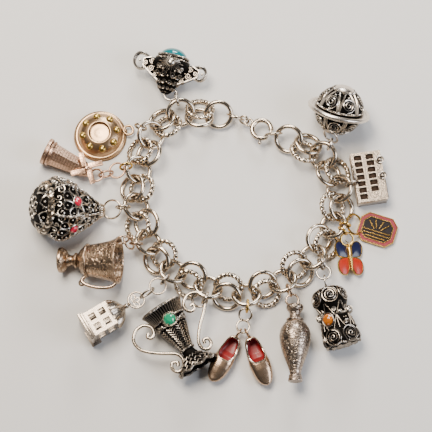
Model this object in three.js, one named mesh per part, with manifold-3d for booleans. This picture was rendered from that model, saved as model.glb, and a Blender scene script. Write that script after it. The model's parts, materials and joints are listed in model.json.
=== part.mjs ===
// Silver charm bracelet, lying on a table in an open loop.
// Large rings of round wire are linked one after another: every odd place of the chain
// holds one plain ring, every even place a plain and a twisted ring side by side.
// A spring-ring clasp closes the loop, and fourteen charms hang outwards from single rings.
// Millimetres, +Z up; the origin is the middle of the footprint on the table.
import * as THREE from 'three';
import { mergeVertices } from 'three/addons/utils/BufferGeometryUtils.js';
import Module from 'manifold-3d';

const wasm = await Module();
wasm.setup();

// ---------------------------------------------------------------- driving dimensions
const WIRE = 1.4;            // wire diameter of the large rings
const RING_R = 4.15;         // centre-line radius of a large ring
const PLACES = 29;           // places along the chain, one single or one pair of rings each
const CHAIN_Z = 3.55;        // height of the single rings' centres above the table
const SINGLE_TILT = 30;      // degrees: a single ring leans, outer side up
const PAIR_TILT = 33;        // degrees: a pair leans the other way, outer side down
const PAIR_DROP = 0.36;      // a pair's middle below the single rings' middle
const PAIR_IN = 0.45;        // a pair's middle inside the line of the chain
const PAIR_SHIFT = 2.8;      // the two rings of a pair lie this far apart sideways
const PAIR_STACK = 1.2;      // and this far apart through their thickness, so they touch
const TWISTS = 4;            // full turns of the twisted wire's flat section round a ring
const JUMP_R = 1.9;          // centre-line radius of the jump rings the charms hang on
const JUMP_WIRE = 0.8;
const SMALL_WIRE = 0.7;      // wire of the loops soldered on the charms
const RUN_GAP = 0.32;        // slack between two linked wires
const GAP = 0.3;             // gap between a setting and its stone, and between laid pieces

// Route of the chain on the table: centres of the single rings, from the clasp's
// small links round to the catch ring.
const ROUTE = [
  { x: -4.3, y: 29.2 }, { x: -16.3, y: 30.0 }, { x: -25.9, y: 22.5 },
  { x: -29.9, y: 11.1 }, { x: -30.6, y: -0.8 }, { x: -26.6, y: -13.3 },
  { x: -18.6, y: -22.9 }, { x: -6.2, y: -28.5 }, { x: 5.0, y: -30.5 },
  { x: 16.6, y: -25.5 }, { x: 26.2, y: -17.2 }, { x: 32.6, y: -6.6 },
  { x: 34.2, y: 5.4 }, { x: 29.2, y: 15.4 }, { x: 18.3, y: 20.9 },
];

// ---------------------------------------------------------------- materials
const finish = (color, roughness = 0.35, metalness = 1) =>
  new THREE.MeshStandardMaterial({ color, roughness, metalness });
const silver = finish('#cfc3b4', 0.28);
const bronzeSilver = finish('#c9a890', 0.4);
const wornSilver = finish('#a58b72', 0.4);
const brightSilver = finish('#f2ece6', 0.3);
const filigree = finish('#6f6a64', 0.45);
const gold = finish('#c9a25a', 0.3);
const teal = finish('#2f8e90', 0.15, 0);
const ruby = finish('#d8304e', 0.1, 0);
const emerald = finish('#1e9a6e', 0.1, 0);
const amber = finish('#c8780f', 0.1, 0);
const enamel = finish('#22284f', 0.25, 0);
const redEnamel = finish('#c4605a', 0.3, 0);

// ---------------------------------------------------------------- solids and joins
const up = new THREE.Vector3(0, 0, 1);
const vec = (x, y, z = 0) => new THREE.Vector3(x, y, z);
const rad = THREE.MathUtils.degToRad;

function solid(geometry) {
  const bare = geometry.clone();
  bare.deleteAttribute('normal');
  bare.deleteAttribute('uv');
  const merged = mergeVertices(bare, 1e-4);
  const mesh = new wasm.Mesh({
    numProp: 3,
    vertProperties: new Float32Array(merged.attributes.position.array),
    triVerts: new Uint32Array(merged.index.array),
  });
  return new wasm.Manifold(mesh);
}

function geometryOf(manifold) {
  const mesh = manifold.getMesh();
  const geometry = new THREE.BufferGeometry();
  geometry.setAttribute('position', new THREE.BufferAttribute(mesh.vertProperties, 3));
  geometry.setIndex(new THREE.BufferAttribute(mesh.triVerts, 1));
  geometry.computeVertexNormals();
  return geometry;
}

function join(...geometries) {
  return geometryOf(geometries.map(solid).reduce((all, next) => all.add(next)));
}

function cut(geometry, ...tools) {
  return geometryOf(tools.map(solid).reduce((rest, tool) => rest.subtract(tool), solid(geometry)));
}

function common(a, b) {
  return geometryOf(solid(a).intersect(solid(b)));
}

// ---------------------------------------------------------------- shape helpers
const box = (sx, sy, sz, x, y, z) => new THREE.BoxGeometry(sx, sy, sz).translate(x, y, z);
const ball = (r, x, y, z, sides = 6) =>
  new THREE.SphereGeometry(r, sides, Math.max(4, sides / 2)).translate(x, y, z);
const torus = (r, wire, steps = 14, sides = 5) =>
  new THREE.TorusGeometry(r, wire / 2, sides, steps);

// A body turned about the X axis, from rows of { x, r }.
function turned(profile, sides = 12) {
  const points = profile.map(({ x, r }) => new THREE.Vector2(r, x));
  return new THREE.LatheGeometry(points, sides).rotateZ(-Math.PI / 2);
}

// A round wire through the given points.
function wireThrough(points, wire, steps) {
  const section = new THREE.Shape();
  for (let i = 0; i < 5; i += 1) {
    const a = (i * 2 * Math.PI) / 5;
    section[i ? 'lineTo' : 'moveTo']((wire / 2) * Math.cos(a), (wire / 2) * Math.sin(a));
  }
  const extrudePath = new THREE.CatmullRomCurve3(points);
  return new THREE.ExtrudeGeometry(section, { steps, extrudePath });
}

// A plate from an outline in the XY plane, its lower face at z.
function plate(points, thickness, z = 0) {
  const shape = new THREE.Shape(points.map(([x, y]) => new THREE.Vector2(x, y)));
  return new THREE.ExtrudeGeometry(shape, { depth: thickness, bevelEnabled: false })
    .translate(0, 0, z);
}

// Turns a ring made in the XY plane so that its X axis runs along `along`
// and its axis along `normal`, and puts its centre at `centre`.
function aimed(geometry, centre, along, normal) {
  const x = along.clone().normalize();
  const z = normal.clone().addScaledVector(x, -normal.dot(x)).normalize();
  const y = new THREE.Vector3().crossVectors(z, x);
  const turn = new THREE.Matrix4().makeBasis(x, y, z).setPosition(centre);
  return geometry.applyMatrix4(turn);
}

// ---------------------------------------------------------------- the bracelet group
const bracelet = new THREE.Group();

function add(name, geometry, material) {
  const mesh = new THREE.Mesh(geometry, material);
  mesh.name = name;
  bracelet.add(mesh);
  return mesh;
}

// ---------------------------------------------------------------- chain
const route = new THREE.CatmullRomCurve3(ROUTE.map(({ x, y }) => vec(x, y)), false, 'centripetal');

// One place of the chain: its centre, the chain's direction, and outwards.
function place(number) {
  const u = (number - 1) / (PLACES - 1);
  const along = route.getTangentAt(u);
  return {
    centre: route.getPointAt(u).setZ(CHAIN_Z),
    along,
    outward: new THREE.Vector3().crossVectors(up, along).normalize(),
  };
}

function twistedRing() {
  const sides = 5;
  const steps = 14;
  const ring = new THREE.TorusGeometry(RING_R, WIRE / 2, sides, steps);
  const at = ring.attributes.position;
  const p = new THREE.Vector3();
  for (let i = 0; i < at.count; i += 1) {
    p.fromBufferAttribute(at, i);
    const round = Math.atan2(p.y, p.x);
    const core = vec(Math.cos(round), Math.sin(round)).multiplyScalar(RING_R);
    const spoke = p.clone().sub(core);
    const across = Math.atan2(spoke.z, Math.hypot(p.x, p.y) - RING_R);
    const swell = 1 + 0.14 * Math.cos(2 * (across - TWISTS * round));
    p.copy(core).addScaledVector(spoke, swell);
    at.setXYZ(i, p.x, p.y, p.z);
  }
  return ring;
}

// The sideways direction at a place that points away from the wrist.
function outwardAt(number) {
  const { centre, outward } = place(number);
  return outward.dot(vec(centre.x, centre.y)) < 0 ? outward.negate() : outward;
}

function leanedPlane(number, degrees) {
  const outward = outwardAt(number);
  return outward.multiplyScalar(Math.cos(rad(degrees)))
    .addScaledVector(up, Math.sin(rad(degrees)));
}

const two = (number) => String(number).padStart(2, '0');

for (let number = 1; number <= PLACES; number += 1) {
  const { centre, along } = place(number);
  if (number % 2 === 1) {
    const side = leanedPlane(number, SINGLE_TILT);
    const normal = new THREE.Vector3().crossVectors(along, side);
    const ring = add(`plain_link_${two(number)}`, torus(RING_R, WIRE), silver);
    aimed(ring, vec(0, 0), along, normal);
    ring.position.copy(centre);
  } else {
    // The outer ring of a pair lies on top; the twisted one takes turns outside and inside.
    const side = leanedPlane(number, -PAIR_TILT);
    const normal = new THREE.Vector3().crossVectors(along, side);
    if (normal.z < 0) normal.negate();
    const twistedOutside = number % 4 === 2 ? 1 : -1;
    const halfShift = side.clone().multiplyScalar(PAIR_SHIFT / 2)
      .addScaledVector(normal, PAIR_STACK / 2);
    const rings = [
      aimed(twistedRing(), halfShift.clone().multiplyScalar(twistedOutside), along, normal),
      aimed(torus(RING_R, WIRE), halfShift.clone().multiplyScalar(-twistedOutside), along, normal),
    ];
    const pair = add(`twin_link_${two(number)}`, join(...rings), silver);
    pair.position.copy(centre).addScaledVector(outwardAt(number), -PAIR_IN);
    pair.position.z -= PAIR_DROP;
  }
}

// ---------------------------------------------------------------- jump rings and bails
// A jump ring hung round the outer wire of a single ring, `turn` degrees off the ring's
// outermost point, reaching out towards `heading` and `dip` degrees downwards.
function jumpRing(number, heading, { turn = 0, dip = 35, r = JUMP_R, wire = JUMP_WIRE } = {}) {
  const { centre, along } = place(number);
  const side = leanedPlane(number, SINGLE_TILT);
  const a = rad(turn);
  const held = centre.clone()
    .addScaledVector(side, RING_R * Math.cos(a))
    .addScaledVector(along, RING_R * Math.sin(a));
  const wireRun = along.clone().multiplyScalar(Math.cos(a)).addScaledVector(side, -Math.sin(a));
  const out = towards(heading, dip);
  const reach = r - (WIRE + wire) / 2 - RUN_GAP;
  const middle = held.addScaledVector(out, reach);
  return {
    geometry: aimed(torus(r, wire, 10, 5), middle, out, wireRun),
    far: middle.clone().addScaledVector(out, r),
    normal: wireRun,
    wire,
  };
}

function towards(heading, dip = 0) {
  const flat = Math.cos(rad(dip));
  return vec(
    Math.cos(rad(heading)) * flat,
    Math.sin(rad(heading)) * flat,
    -Math.sin(rad(dip)),
  );
}

// A loop from the far side of `ring` to the point `to`. A soldered one bites into the
// ring's wire; a loose one passes round it with a little slack.
function loopTo(ring, to, { wire = SMALL_WIRE, soldered = false, squeeze = 1 } = {}) {
  const out = to.clone().sub(ring.far).normalize();
  const back = soldered ? wire * 0.4 : (ring.wire + wire) / 2 + RUN_GAP;
  const r = (to.distanceTo(ring.far) + back) / 2;
  const middle = ring.far.clone().addScaledVector(out, r - back);
  const normal = new THREE.Vector3().crossVectors(out, ring.normal).normalize();
  return {
    geometry: aimed(torus(r, wire, 8, 5).scale(1, squeeze, 1), middle, out, normal),
    far: middle.clone().addScaledVector(out, r),
    normal,
    wire,
  };
}

// Puts a charm on the table: `x`, `y` is where its local origin goes, `heading` turns its
// local X axis, `pitch` lowers that axis's far end and `roll` turns it about itself.
function laid(name, geometry, material, { x, y, heading, pitch = 0, roll = 0 }) {
  const charm = add(name, geometry, material);
  charm.rotation.set(rad(roll), rad(pitch), rad(heading), 'ZYX');
  charm.position.set(x, y, 0);
  charm.updateMatrixWorld(true);
  charm.position.z = -new THREE.Box3().setFromObject(charm, true).min.z;
  charm.updateMatrixWorld(true);
  return charm;
}

// Solders pieces that are placed in the bracelet's frame onto a laid charm.
function solder(charm, ...pieces) {
  const back = charm.matrixWorld.clone().invert();
  const moved = pieces.map((piece) => piece.clone().applyMatrix4(back));
  charm.geometry = join(charm.geometry, ...moved);
}

const worldPoint = (charm, x, y, z) => vec(x, y, z).applyMatrix4(charm.matrixWorld);

// Fixes another solid in a charm's own frame, such as a stone in its setting.
function setIn(charm, name, geometry, material) {
  const piece = add(name, geometry, material);
  piece.rotation.copy(charm.rotation);
  piece.position.copy(charm.position);
  return piece;
}

// A domed stone on the plane x = 0 or z = 0, standing `height` proud of it.
const stone = (r, height, sides = 10) =>
  turned([
    { x: 0, r: 0 }, { x: 0, r }, { x: height * 0.45, r: r * 0.88 },
    { x: height * 0.85, r: r * 0.5 }, { x: height, r: 0 },
  ], sides);

// ---------------------------------------------------------------- spring-ring clasp
const CLASP = { x: 9.6, y: 24.2, z: CHAIN_Z, r: 3.05, tube: 1.6, bore: 1.0, bolt: 0.82 };
const CLASP_MOUTH = { from: -60, to: -5 };       // degrees round the ring, open for a link
const CLASP_SLOT = { from: -166, to: -90 };      // where the lever runs
const LEVER_AT = -98;                            // the lever at rest
const BORE_END = -200;
const BOLT = { from: -130, to: 4 };              // it swings back 60 degrees to open

// A wedge of a flat disc between two angles, to keep or cut an arc of the ring.
function wedge(from, to, radius, height) {
  const shape = new THREE.Shape();
  shape.moveTo(0, 0);
  const steps = Math.ceil(Math.abs(to - from) / 30);
  for (let i = 0; i <= steps; i += 1) {
    const a = rad(from + ((to - from) * i) / steps);
    shape.lineTo(radius * Math.cos(a), radius * Math.sin(a));
  }
  return new THREE.ExtrudeGeometry(shape, { depth: height, bevelEnabled: false })
    .translate(0, 0, -height / 2);
}

const claspRing = (wire) => torus(CLASP.r, wire, 30, 8);
const bore = common(claspRing(CLASP.bore), wedge(BORE_END, BOLT.to + 3, 9, 3));
const mouth = wedge(CLASP_MOUTH.from, CLASP_MOUTH.to, 9, 3);
const leverSlot = cut(
  wedge(CLASP_SLOT.from, CLASP_SLOT.to, 9, 0.7),
  new THREE.CylinderGeometry(CLASP.r, CLASP.r, 2, 16).rotateX(Math.PI / 2),
);
const eyeletAt = vec(Math.cos(rad(150)), Math.sin(rad(150))).multiplyScalar(CLASP.r + 1.75);
const eyelet = torus(1.2, 0.7, 12).translate(eyeletAt.x, eyeletAt.y, 0);
const springRing = add(
  'spring_ring',
  cut(join(claspRing(CLASP.tube), eyelet), bore, mouth, leverSlot),
  silver,
);
springRing.position.set(CLASP.x, CLASP.y, CLASP.z);

const lever = vec(Math.cos(rad(LEVER_AT)), Math.sin(rad(LEVER_AT)));
const stem = new THREE.CylinderGeometry(0.2, 0.2, 1.3, 8)
  .rotateZ(rad(LEVER_AT - 90)).translate(lever.x * (CLASP.r + 0.75), lever.y * (CLASP.r + 0.75), 0);
const knob = ball(0.62, lever.x * (CLASP.r + 1.6), lever.y * (CLASP.r + 1.6), 0);
const bolt = add(
  'clasp_bolt',
  join(common(claspRing(CLASP.bolt), wedge(BOLT.from, BOLT.to, 9, 3)), stem, knob),
  silver,
);
bolt.position.copy(springRing.position);

// Two small links lead from the eyelet to the first ring of the chain.
const eyeletEdge = eyeletAt.clone().add(springRing.position)
  .add(vec(Math.cos(rad(150)), Math.sin(rad(150))).multiplyScalar(1.2));
const firstWire = place(1).centre.clone().addScaledVector(place(1).along, -RING_R);
const linkRun = firstWire.clone().sub(eyeletEdge);
const linkLength = linkRun.length();
const linkWay = linkRun.clone().normalize();
const leanOf = (degrees) => up.clone().multiplyScalar(Math.cos(rad(degrees)))
  .addScaledVector(outwardAt(1), Math.sin(rad(degrees)));
const nearR = 1.45;
const nearBack = (0.7 + SMALL_WIRE) / 2 + RUN_GAP;
const nearAt = eyeletEdge.clone().addScaledVector(linkWay, nearR - nearBack);
add('clasp_link_near', aimed(torus(nearR, SMALL_WIRE, 12), nearAt, linkWay, leanOf(-55)), silver);
const nearFar = linkLength - (2 * nearR - nearBack);
const farBack = SMALL_WIRE + RUN_GAP;
const farPast = (WIRE + SMALL_WIRE) / 2 + RUN_GAP;
const farR = (nearFar + farBack + farPast) / 2;
const farAt = firstWire.clone().addScaledVector(linkWay, farPast - farR);
add('clasp_link_far', aimed(torus(farR, SMALL_WIRE, 12), farAt, linkWay, leanOf(70)), silver);

// The catch ring joins the last ring of the chain and drops into the clasp's mouth.
const mouthAt = rad((CLASP_MOUTH.from + CLASP_MOUTH.to) / 2);
const boltPoint = vec(Math.cos(mouthAt), Math.sin(mouthAt)).multiplyScalar(CLASP.r)
  .add(springRing.position);
const boltRun = vec(-Math.sin(mouthAt), Math.cos(mouthAt));
const lastWire = place(PLACES).centre.clone().addScaledVector(place(PLACES).along, RING_R);
const catchRun = lastWire.clone().sub(boltPoint);
const catchPast = (WIRE + JUMP_WIRE) / 2 + RUN_GAP;
const catchBack = (CLASP.bolt + JUMP_WIRE) / 2 + RUN_GAP + 0.08;
const catchR = (catchRun.length() + catchPast + catchBack) / 2 + 0.05;
const catchWay = catchRun.clone().normalize();
const catchAt = boltPoint.clone().addScaledVector(catchWay, catchR - catchBack);
const catchNormal = boltRun.clone().multiplyScalar(1.6).add(leanedPlane(PLACES, SINGLE_TILT));
add('catch_ring', aimed(torus(catchR, SMALL_WIRE, 12), catchAt, catchWay, catchNormal), silver);

// ---------------------------------------------------------------- teal fob
// A filigree bell with two ring arms; a teal cabochon closes its wide end.
const FOB = { length: 12.4, r: 6.7, flat: 0.78, armR: 3.0, armWire: 1.2, armOut: 8.8 };
const fobJump = jumpRing(3, 105);
const fobBell = turned([
  { x: 0, r: 0 }, { x: 0, r: 1.2 }, { x: 3, r: 2.3 }, { x: 6, r: 4.5 }, { x: 9, r: FOB.r },
  { x: 10.8, r: 6.1 }, { x: 11.6, r: 5.0 }, { x: FOB.length, r: 4.9 }, { x: FOB.length, r: 0 },
]).scale(1, 1, FOB.flat);
const fobArms = [-1, 1].map((side) =>
  torus(FOB.armR, FOB.armWire).translate(8.9, side * FOB.armOut, 0));
const tealFob = laid(
  'teal_fob',
  join(fobBell, ...fobArms, ball(1.5, 10.2, -1.2, 4.4)),
  filigree,
  { x: -21.8, y: 36.2, heading: 76, pitch: -8 },
);
const fobLoop = loopTo(fobJump, worldPoint(tealFob, 0.6, 0, 0), { soldered: true });
solder(tealFob, fobJump.geometry, fobLoop.geometry);
setIn(
  tealFob,
  'teal_cabochon',
  stone(4.3, 2.7, 12).scale(1, 1, FOB.flat).translate(FOB.length + GAP, 0, 0),
  teal,
);

// ---------------------------------------------------------------- dome charm
// A pressed disc with a stepped dome, a ring of beads and a cup in the middle.
const DOME = { r: 8.3, beads: 8, beadR: 1.05, beadRing: 5.25 };
const domeBody = turned([
  { x: 0, r: 0 }, { x: 0, r: DOME.r }, { x: 0.9, r: DOME.r }, { x: 1.3, r: 7.7 },
  { x: 1.2, r: 7.1 }, { x: 2.6, r: 6.8 }, { x: 3.7, r: 6.1 }, { x: 4.6, r: 4.6 },
  { x: 4.9, r: 3.4 }, { x: 4.2, r: 3.1 }, { x: 4.2, r: 0 },
], 16).rotateY(-Math.PI / 2);
const domeBeads = Array.from({ length: DOME.beads }, (_, i) => {
  const a = (i * 2 * Math.PI) / DOME.beads;
  return ball(DOME.beadR, DOME.beadRing * Math.cos(a), DOME.beadRing * Math.sin(a), 4.1);
});
const dome = laid('dome_charm', join(domeBody, ...domeBeads), silver, {
  x: -42.6, y: 22.9, heading: 190,
});
const domeJump = jumpRing(5, 165, { dip: 30, r: 1.8 });
add('dome_jump_ring', domeJump.geometry, silver);
solder(dome, loopTo(domeJump, worldPoint(dome, -DOME.r + 0.5, 0, 1.0), { wire: 0.8 }).geometry);

// ---------------------------------------------------------------- windmill
// An eight-sided tower lying on its side, with a round cap and four plate sails.
const MILL = { length: 16.6, foot: 4.5, waist: 3.9, neck: 2.4, cap: 2.3 };
const tower = laid(
  'windmill_tower',
  turned([
    { x: 0, r: 0 }, { x: 0.5, r: 1.2 }, { x: 1.7, r: 2.1 }, { x: 3.0, r: MILL.cap },
    { x: 3.2, r: MILL.neck }, { x: 15.0, r: MILL.waist }, { x: 15.2, r: MILL.foot },
    { x: MILL.length, r: MILL.foot }, { x: MILL.length, r: 3.4 }, { x: 15.4, r: 3.1 },
    { x: 15.4, r: 0 },
  ], 8).rotateX(Math.PI / 8),
  bronzeSilver,
  { x: -46.0, y: 7.6, heading: 155, pitch: -6.3 },
);
const sailPlate = (angle) =>
  box(4.6, 2.0, 0.5, 2.9, 0.6, 0).rotateZ(rad(angle));
const sailHub = new THREE.CylinderGeometry(0.8, 0.8, 1.1, 8).rotateX(Math.PI / 2);
const SAIL_TURN = 40;
setIn(
  tower,
  'windmill_sails',
  join(sailHub, ...[0, 90, 180, 270].map((a) => sailPlate(a + SAIL_TURN)))
    .translate(1.9, 0, MILL.cap + GAP + 0.55),
  bronzeSilver,
);
const millJump = jumpRing(7, 200, { dip: 30 });
add('windmill_jump_ring', millJump.geometry, gold);
const millLinkEnd = worldPoint(tower, -2.6, 0, 0.7);
const millMiddle = millJump.far.clone().lerp(millLinkEnd, 0.52);
const millLoop = loopTo(millJump, millMiddle, {});
const millLoop2 = loopTo(millLoop, millLinkEnd, { soldered: true });
const millLoop3 = loopTo(millLoop2, worldPoint(tower, 0.5, 0, 0), { soldered: true });
solder(tower, millLoop.geometry, millLoop2.geometry, millLoop3.geometry);

// ---------------------------------------------------------------- lantern
// A six-sided filigree lantern lying on one of its faces, with stones set in the faces.
const LANTERN = {
  tip: 2.6, lower: 7.9, lowerAt: 9.5, wide: 10.5, wideAt: 14.5, band: 7.2, crown: 4.4, length: 24,
};
const lanternBody = turned([
  { x: 0, r: 0 }, { x: 0.3, r: 1.6 }, { x: 1.3, r: 2.5 }, { x: 2.4, r: LANTERN.tip },
  { x: 5.5, r: 5.3 }, { x: LANTERN.lowerAt, r: LANTERN.lower },
  { x: LANTERN.wideAt, r: LANTERN.wide }, { x: 17.2, r: 10.2 }, { x: 18.8, r: 9.0 },
  { x: 20.2, r: LANTERN.band }, { x: 20.2, r: 0 },
], 6).rotateX(Math.PI / 6);
const lanternCrown = turned([
  { x: 20.0, r: 0 }, { x: 20.0, r: 6.9 }, { x: 20.8, r: LANTERN.band }, { x: 21.4, r: 6.8 },
  { x: 22.8, r: 6.4 }, { x: LANTERN.length, r: LANTERN.crown }, { x: LANTERN.length, r: 0 },
], 12);
const lanternRise = (LANTERN.wide - LANTERN.lower) / (LANTERN.wideAt - LANTERN.lowerAt);
const lanternSlope = THREE.MathUtils.radToDeg(Math.atan(lanternRise * Math.cos(Math.PI / 6)));
const lantern = laid('lantern', join(lanternBody, lanternCrown), filigree, {
  x: -40.8, y: -2.9, heading: 183, pitch: -lanternSlope,
});
const faceR = (x) => Math.cos(Math.PI / 6)
  * (LANTERN.lower + lanternRise * (x - LANTERN.lowerAt));
const STONE_AT = 12.2;
[['lantern_stone_top', 0], ['lantern_stone_side', 60]].forEach(([name, turn]) => {
  const gem = stone(1.4, 0.9, 8).rotateY(-Math.PI / 2).rotateY(rad(-lanternSlope))
    .translate(STONE_AT, 0, faceR(STONE_AT) + GAP).rotateX(rad(-turn));
  setIn(lantern, name, gem, ruby);
});
const lanternJump = jumpRing(9, 180, { r: 2.2 });
add('lantern_jump_ring', lanternJump.geometry, silver);
solder(lantern, loopTo(lanternJump, worldPoint(lantern, 0.7, 0, 0), {}).geometry);

// ---------------------------------------------------------------- ewer
// A small cup on a stem, lying on its rim and foot, with a wire handle.
const EWER = { length: 19.2, rim: 7.3, wall: 0.8, deep: 9.4 };
const ewerCup = turned([
  { x: EWER.deep, r: 0 }, { x: 8.6, r: 3.6 }, { x: 4.5, r: 5.0 }, { x: 0, r: EWER.rim - EWER.wall },
  { x: 0, r: EWER.rim }, { x: 4.8, r: 5.9 }, { x: 9.6, r: 4.9 }, { x: 10.3, r: 5.3 },
  { x: 11.0, r: 4.7 }, { x: 12.6, r: 2.6 }, { x: 13.4, r: 1.9 }, { x: 14.0, r: 2.3 },
  { x: 14.6, r: 1.7 }, { x: 16.4, r: 1.9 }, { x: 17.4, r: 3.6 }, { x: 18.4, r: 4.0 },
  { x: EWER.length, r: 4.0 }, { x: EWER.length, r: 0 },
], 14);
const ewerHandle = wireThrough([
  vec(10.4, 4.9), vec(11.2, 6.6), vec(9.0, 8.0), vec(5.0, 8.7), vec(1.6, 8.2), vec(0.6, 7.0),
], 1.2, 12);
const ewer = laid('ewer', join(ewerCup, ewerHandle), wornSilver, {
  x: -35.8, y: -20.3, heading: 176.5, pitch: 10.2,
});
const ewerJump = jumpRing(11, 172, { turn: -12 });
const ewerLoop = loopTo(ewerJump, worldPoint(ewer, 0.4, -6.6, 2.4), { soldered: true });
solder(ewer, ewerJump.geometry, ewerLoop.geometry);

// ---------------------------------------------------------------- house
// A square hut with barred windows, a round roof and a finial.
const HOUSE = { side: 8.0, wall: 0.9, eave: 4.4, floor: 12.6, base: 9.4, length: 14.2 };
const houseSize = HOUSE.floor - HOUSE.eave;
const houseMid = (HOUSE.floor + HOUSE.eave) / 2;
const hut = box(houseSize, HOUSE.side, HOUSE.side, houseMid, 0, 0);
const room = box(houseSize - 2, HOUSE.side - 2 * HOUSE.wall, HOUSE.side - 2 * HOUSE.wall, houseMid, 0, 0);
const windows = [-1, 1].flatMap((a) => [-1, 1].flatMap((b) => [
  box(2.3, 2.2, HOUSE.side + 2, houseMid + a * 1.7, b * 1.75, 0),
  box(2.3, HOUSE.side + 2, 2.2, houseMid + a * 1.7, 0, b * 1.75),
]));
const roof = turned([
  { x: 0, r: 0 }, { x: 0.4, r: 1.6 }, { x: 1.8, r: 3.6 }, { x: 3.6, r: 4.7 },
  { x: HOUSE.eave + 0.3, r: 5.0 }, { x: HOUSE.eave + 0.3, r: 0 },
], 10);
const slab = box(1.6, HOUSE.base, HOUSE.base, HOUSE.length - 0.8, 0, 0);
const house = laid(
  'house',
  join(cut(hut, room, ...windows), roof, slab, ball(0.9, -0.6, 0, 0), ball(0.6, -1.9, 0, 0)),
  brightSilver,
  { x: -33.9, y: -34.8, heading: 211 },
);
const houseJump = jumpRing(13, 225, { dip: 40 });
const houseLoop = loopTo(houseJump, worldPoint(house, -1.6, 0, 0), { soldered: true, squeeze: 0.4 });
solder(house, houseJump.geometry, houseLoop.geometry);

// ---------------------------------------------------------------- amphora
// A flattened filigree jug with two scrolled wire handles and a green stone.
const JUG = { length: 22.6, mouth: 7.0, flat: 0.72, handleWire: 1.0 };
const jugBody = turned([
  { x: 0, r: 0 }, { x: 0, r: 6.6 }, { x: 0.8, r: JUG.mouth }, { x: 1.7, r: 6.4 },
  { x: 2.4, r: 5.7 }, { x: 6, r: 5.2 }, { x: 12, r: 3.2 }, { x: 15.6, r: 2.0 },
  { x: 18.2, r: 2.9 }, { x: 21, r: 6.0 }, { x: JUG.length, r: 6.8 }, { x: JUG.length, r: 0 },
], 14).scale(1, 1, JUG.flat);
const handles = [-1, 1].map((side) => wireThrough([
  vec(4.4, side * 4.8), vec(3.4, side * 7.2), vec(1.9, side * 9.4), vec(3.2, side * 11.8),
  vec(7.2, side * 12.2), vec(11.6, side * 9.6), vec(15.2, side * 5.2), vec(18.6, side * 3.0),
], JUG.handleWire, 11));
const amphora = laid('amphora', join(jugBody, ...handles), filigree, {
  x: -24.6, y: -36.0, heading: -58,
});
const jugJump = jumpRing(15, 236, { turn: 4 });
const jugLoop = loopTo(jugJump, worldPoint(amphora, 2.2, 9.6, 0), { soldered: true });
solder(amphora, jugJump.geometry, jugLoop.geometry);
setIn(
  amphora,
  'amphora_stone',
  stone(2.0, 1.2).rotateY(-Math.PI / 2).translate(5.6, 0, 5.6 * JUG.flat + GAP - 0.1),
  emerald,
);

// ---------------------------------------------------------------- clogs
// Two round-toed slippers, open on top, hung by their heels.
const CLOG = { length: 16.2, high: 4.6 };
function clog() {
  const plan = plate([
    [0.0, 1.1], [1.2, 2.1], [5, 2.9], [9, 3.3], [12, 3.1], [14.4, 2.3], [CLOG.length, 0.7],
    [CLOG.length, -0.7], [14.4, -2.3], [12, -3.1], [9, -3.3], [5, -2.9], [1.2, -2.1], [0, -1.1],
  ], 7, -1);
  const side = plate([
    [0.2, 0.0], [5.4, 0.0], [6.4, 0.7], [8, 0.2], [12, 0.4], [15, 1.6], [CLOG.length, 3.2],
    [14, 3.3], [11, 4.3], [9, CLOG.high], [5, 3.4], [2, 3.8], [0, 4.3],
  ], 8).rotateX(Math.PI / 2).translate(0, 4, 0);
  const foot = plate([
    [0.9, 0.9], [2, 1.6], [6, 2.2], [8.2, 1.8], [9, 0], [8.2, -1.8], [6, -2.2], [2, -1.6],
    [0.9, -0.9],
  ], 6, 1.1);
  return cut(common(plan, side), foot);
}
const clogs = [
  laid('clog_left', clog(), bronzeSilver, { x: 1.3, y: -43.7, heading: -119 }),
  laid('clog_right', clog(), bronzeSilver, { x: 5.5, y: -43.9, heading: -70 }),
];
const clogJump = jumpRing(17, 262, { dip: 30 });
add('clog_jump_ring', clogJump.geometry, gold);
const HANGER = { x: 3.4, y: -40.6, z: 3.3, r: 2.0 };
const hangerAt = vec(HANGER.x, HANGER.y, HANGER.z);
const clogLoop = loopTo(clogJump, hangerAt.clone().add(vec(0, HANGER.r)), {});
const hangerRing = aimed(torus(HANGER.r, SMALL_WIRE, 12), hangerAt, vec(0, 1), up);
add('clog_hanger', join(clogLoop.geometry, hangerRing), silver);
clogs.forEach((shoe) => {
  const heel = worldPoint(shoe, 0.5, 0, 3.2);
  const way = heel.clone().sub(hangerAt).setZ(0).normalize();
  const held = { far: hangerAt.clone().addScaledVector(way, HANGER.r), normal: up, wire: SMALL_WIRE };
  solder(shoe, loopTo(held, heel, { wire: 0.6 }).geometry);
});

// ---------------------------------------------------------------- vase
const vaseJump = jumpRing(19, 285);
const vase = laid(
  'vase',
  turned([
    { x: 0, r: 0 }, { x: 0, r: 2.5 }, { x: 1.2, r: 2.7 }, { x: 2.3, r: 2.1 },
    { x: 3.6, r: 1.75 }, { x: 5.0, r: 2.7 }, { x: 5.6, r: 2.8 }, { x: 7.2, r: 4.1 },
    { x: 10.0, r: 4.95 }, { x: 15.5, r: 4.0 }, { x: 20.5, r: 2.2 }, { x: 22.8, r: 1.7 },
    { x: 23.8, r: 2.1 }, { x: 24.8, r: 2.2 }, { x: 24.8, r: 0 },
  ]),
  wornSilver,
  { x: 19.7, y: -33.8, heading: -90.5, pitch: -4 },
);
const vaseLoop = loopTo(vaseJump, worldPoint(vase, 0.4, 0, 0), { soldered: true });
solder(vase, vaseJump.geometry, vaseLoop.geometry);

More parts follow.
